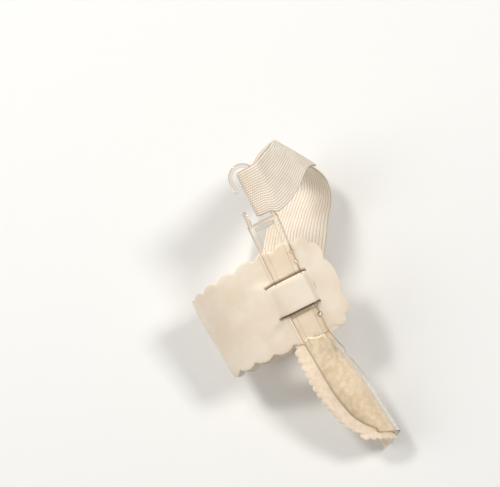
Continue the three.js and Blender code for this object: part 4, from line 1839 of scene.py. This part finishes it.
        def ray(k: int, share: float) -> tuple[float, float]:
            """A place on one ray of the fan.

            Args:
                k: The ray's number.
                share: The share of the way out.

            Returns:
                The girth and the place across.
            """
            if k in (0, self.rays):
                return CUFF.slot_outer, (share if k == 0 else -share) * half
            angle = pi * (0.5 - k / self.rays)
            c = np.sign(cos(angle)) * abs(cos(angle)) ** self.end_squareness
            d = np.sign(sin(angle)) * abs(sin(angle)) ** self.end_squareness
            rise = float(scallop(k / self.rays * lobes * CUFF.scallop_pitch)) * share
            return float(CUFF.slot_outer + reach * c * share + rise * c), float(half * d * share + rise * d)

        faces = []
        for k in range(self.rays):
            a, b = ([vertex(*ray(i, share), False) for share in shares] for i in (k, k + 1))
            faces += [(a[j], b[j], b[j + 1], a[j + 1]) for j in range(len(shares) - 1)]
        return faces

    def build(self, effects: Effects) -> bpy.types.Object:
        """Model and dress the band.

        Args:
            effects: The shared effects.

        Returns:
            The band.
        """
        surface = self._surface()
        obj = surface.build("scalloped_cuff")
        smooth(obj, self.smooth_angle)
        obj.data.materials.append(Leatherette().make(effects))
        length = (CUFF.dorsal_reach - float(self._end_girth(0.0))) * MM
        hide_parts("foot_cuff")
        surface.area()
        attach(obj, "root")
        return obj


class Ground(Enum):
    """What a place of the elastic is measured on."""

    BAR = "the splint's plane"
    FORM = "the worn form"


@dataclass(frozen=True)
class Station:
    """A place that the elastic passes, with its lift and its share of the width."""

    on: Ground
    out: float
    y: float
    h: float
    width: float


@dataclass
class ElasticStrap:
    """The ribbed elastic, from the band's end up through the hook and back on itself."""

    across: int = 120
    per_station: int = 9
    fold_stations: int = 7
    ribs: int = 20
    rib_rise: float = 0.24
    border_ribs: float = 0.5
    border_thickness: float = 0.6
    fold_reach: float = 9.0
    taut_girth: float = 50.0
    even_passes: int = 60
    smooth_angle: float = 80.0

    def _stations(self) -> list[Station]:
        """The elastic's course, its fold round the bar and its way back.

        Returns:
            The stations in order from the sewn end.
        """
        under = (SPLINT.thickness + STRAP.thickness) / 2 + STRAP.hook_room * FIT.clearance
        laid = STRAP.thickness / 2 + STRAP.ground_gap
        doubled = laid + STRAP.thickness + FIT.clearance
        sewn = (CUFF.thickness + STRAP.thickness) / 2 + FIT.clearance
        line = STRAP.line_y
        # out, y, lift, share of the width
        course = [
            (113, 16, sewn, 1), (104, 24, sewn, 1), (95, 32, sewn, 1), (86, 40, laid, 1),
            (76, 48, laid, 1), (67, 55.5, laid, 0.96), (57, 61, laid, 0.86), (46.5, 61.5, laid, 0.84),
            (37, 60.0, laid, 0.79), (28, 56.4, laid, 0.77), (20.5, line + 3.0, laid, 0.89),
        ]
        over_bar = [(11, line, -under, 0.92), (8, line, -under, 0.86), (4.5, line, -under, 0.86)]
        for i in range(1, self.fold_stations + 1):
            angle = pi * (0.5 + i / (self.fold_stations + 1))
            x = STRAP.fold_x + under + under * cos(angle)
            over_bar.append((x, line, -under * sin(angle), STRAP.fold_width))
        over_bar += [(5, line, under, 0.86), (8, line, under, 0.87), (11.5, line - 0.6, under, 0.96)]
        back = [
            (21, line + 1.6, doubled, 0.88), (28, 55.2, doubled, 0.76), (37, 59.2, doubled, 0.79),
            (46.5, 61.5, doubled, 0.84), (56, 61.2, doubled, 0.84),
        ]
        runs = ((Ground.FORM, course), (Ground.BAR, over_bar), (Ground.FORM, back))
        return [Station(on, *row) for on, rows in runs for row in rows]

    @staticmethod
    def _way(stations: Sequence[Station], i: int) -> Array:
        """The way the elastic runs at a station, read over its neighbours.

        Args:
            stations: Every station.
            i: The station's number.

        Returns:
            The way outward and along, at length one.
        """
        near, far = stations[max(0, i - 2)], stations[min(len(stations) - 1, i + 2)]
        way = unit(np.array([far.out - near.out, far.y - near.y]))
        return -way if way[0] < 0 else way

    def _even(self, points: Array, stations: Sequence[Station]) -> Array:
        """Even out the elastic's run where it leaves the bar, as its pull does.

        Args:
            points: The points, by row and rib.
            stations: Every station.

        Returns:
            The same points, evened out.
        """
        free = [float(station.on is Ground.FORM and station.out < self.taut_girth) for station in stations]
        place = np.arange(len(points)) / self.per_station
        share = np.interp(place, np.arange(len(stations)), free)[1:-1, None, None]
        for _ in range(self.even_passes):
            middle = (points[:-2] + points[2:]) / 2
            points[1:-1] = lerp(points[1:-1], middle, 0.5 * share)
        return points

    def _knots(self, stations: Sequence[Station]) -> Array:
        """The elastic's cross lines at its stations.

        Args:
            stations: Every station.

        Returns:
            The points, by station and place across.
        """
        w = np.linspace(-0.5, 0.5, self.across + 1)
        knots = []
        for i, station in enumerate(stations):
            reach = w * STRAP.width * station.width
            if station.on is Ground.BAR:
                knots.append(BAR.at(station.out, station.y + reach, station.h))
                continue
            way = self._way(stations, i)
            stretch = float(FORM.stretch(station.out, station.y))
            s = station.out - way[1] * reach
            y = station.y + way[0] * reach / stretch
            knots.append(FORM.point(s, y) + FORM.normal(s, y) * station.h)
        return np.stack(knots)

    def _surface(self) -> Surface:
        """Lay the elastic through its stations, rib by rib.

        Returns:
            The elastic's surface.
        """
        stations = self._stations()
        count = (len(stations) - 1) * self.per_station + 1
        points = self._even(smooth_path(self._knots(stations), False, np.linspace(0, 1, count)), stations)
        along = unit(np.gradient(points, axis=0))
        beside = unit(np.gradient(points, axis=1))
        normals = unit(np.cross(along, beside))
        phase = np.linspace(0, self.ribs, self.across + 1)
        rib = np.sqrt(np.abs(np.sin(pi * phase)))
        border = ease(np.minimum(phase, self.ribs - phase) / self.border_ribs)
        middle = points[:, self.across // 2]
        run = np.concatenate([[0], np.cumsum(np.linalg.norm(np.diff(middle, axis=0), axis=1))])
        fold_row = np.argmin(np.where(middle[:, 2] > FIT.bar_z, middle[:, 0], np.inf))
        fold = np.exp(-((run - run[fold_row]) / self.fold_reach) ** 2)
        half = (STRAP.thickness / 2 - self.rib_rise * (1 - rib)) * lerp(self.border_thickness, 1.0, border)
        thick = np.broadcast_to(half, points.shape[:2])
        masks = {"rib": rib, "fold": fold[:, None]}
        across = phase / self.ribs * STRAP.width
        return Surface.of_grid(points, normals, thick, thick, run[:, None], across, masks)

    def build(self, effects: Effects) -> bpy.types.Object:
        """Model and dress the elastic.

        Args:
            effects: The shared effects.

        Returns:
            The elastic.
        """
        surface = self._surface()
        obj = surface.build("ribbed_strap", rim=4)
        smooth(obj, self.smooth_angle)
        obj.data.materials.append(RibbedElastic().make(effects))
        length = float(surface.lay[:, 0].max()) * MM
        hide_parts("elastic_strap")
        surface.area() / length
        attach(obj, "root")
        return obj


@dataclass(frozen=True)
class Lamp:
    """A soft square light, placed by the picture's own axes in metres."""

    name: str
    side: float
    height: float
    toward: float
    size: float
    power: float
    colour: tuple[float, float, float]


@dataclass
class Studio:
    """A plain pale floor, soft light and the camera.

    The camera looks down at the splint's bridge, tilted and rolled by angles in
    degrees, and its offset moves it by the picture's own axes.
    """

    floor_z: float = -33.3
    floor_size: float = 6.0
    floor_tone: Colour = srgb(236, 235, 232)
    floor_roughness: float = 0.9
    sky: Colour = (1.0, 0.99, 0.975, 1.0)
    sky_strength: float = 0.32
    tilt: float = 10.0
    roll: float = 26.49
    distance: float = 640.0
    lens: float = 101.4
    sensor: float = 36.0
    near_clip: float = 0.01
    centre: tuple[float, float, float] = (FIT.splint_x, 0.0, FIT.bar_z)
    offset: tuple[float, float] = (-19.1, 23.4)
    lamps: tuple[Lamp, ...] = (
        Lamp("key", 0.50, 0.50, 0.95, 0.24, 6.2, (1.0, 0.985, 0.965)),
        Lamp("fill", -0.9, 0.1, 0.7, 0.7, 3.6, (1.0, 0.995, 0.99)),
        Lamp("spark", -0.45, 0.45, 0.75, 0.15, 3.4, (1.0, 1.0, 1.0)),
    )

    def _axes(self) -> tuple[Vector, Vector, Vector]:
        """The picture's own axes.

        Returns:
            Its right, its up, and the way to the camera.
        """
        tilt, roll = radians(self.tilt), radians(self.roll)
        view = Vector((0, -sin(tilt), cos(tilt)))
        level = Vector((0, cos(tilt), sin(tilt)))
        across = Vector((1, 0, 0))
        return across * cos(roll) - level * sin(roll), across * sin(roll) + level * cos(roll), view

    def _camera(self) -> None:
        """Place the camera over the bridge."""
        right, up, view = self._axes()
        data = bpy.data.cameras.new("camera")
        data.lens = self.lens
        data.sensor_width = self.sensor
        data.clip_start = self.near_clip
        camera = bpy.data.objects.new("camera", data)
        bpy.context.scene.collection.objects.link(camera)
        place = Vector(self.centre) + view * self.distance + right * self.offset[0] + up * self.offset[1]
        turn = Matrix((right, up, view)).transposed()
        camera.matrix_world = Matrix.Translation(place * MM) @ turn.to_4x4()
        bpy.context.scene.camera = camera

    def _floor(self) -> None:
        """A wide pale floor under the part."""
        deselect()
        bpy.ops.mesh.primitive_plane_add(size=self.floor_size, location=(0, 0, self.floor_z * MM))
        floor = bpy.context.object
        floor.name = "floor"
        bpy.ops.object.transform_apply(location=True, rotation=True, scale=True)
        material, _, shader = new_material("pale_floor")
        shader.inputs["Base Color"].default_value = self.floor_tone
        shader.inputs["Roughness"].default_value = self.floor_roughness
        floor.data.materials.append(material)

    def _light(self, lamp: Lamp) -> None:
        """Set up one light, aimed at the origin.

        Args:
            lamp: The light's size, place, power and colour.
        """
        right, up, view = self._axes()
        data = bpy.data.lights.new(lamp.name, "AREA")
        data.shape = "SQUARE"
        data.size = lamp.size
        data.energy = lamp.power
        data.color = lamp.colour
        light = bpy.data.objects.new(lamp.name, data)
        bpy.context.scene.collection.objects.link(light)
        place = right * lamp.side + up * lamp.height + view * lamp.toward
        light.matrix_world = Matrix.Translation(place) @ place.to_track_quat("Z", "Y").to_matrix().to_4x4()

    def build(self) -> None:
        """Set up the camera, the floor and the light."""
        self._camera()
        self._floor()
        world = bpy.data.worlds.new("studio")
        world.use_nodes = True
        background = world.node_tree.nodes["Background"]
        background.inputs["Color"].default_value = self.sky
        background.inputs["Strength"].default_value = self.sky_strength
        bpy.context.scene.world = world
        for lamp in self.lamps:
            self._light(lamp)
        bpy.context.scene.view_settings.view_transform = "Standard"


def main() -> None:
    """Build every sub-assembly in order and report each piece."""
    logging.basicConfig(level=logging.INFO, format="%(message)s")
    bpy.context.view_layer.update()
    effects = Effects()
    Studio().build()
    pieces = [Splint().build(effects), *ToeLining().build(effects)]
    pieces += [FootCuff().build(effects), ElasticStrap().build(effects)]
    for piece in pieces:
        LOG.info("%s: %d faces", piece.name, len(piece.data.polygons))


if __name__ == "__main__":
    main()
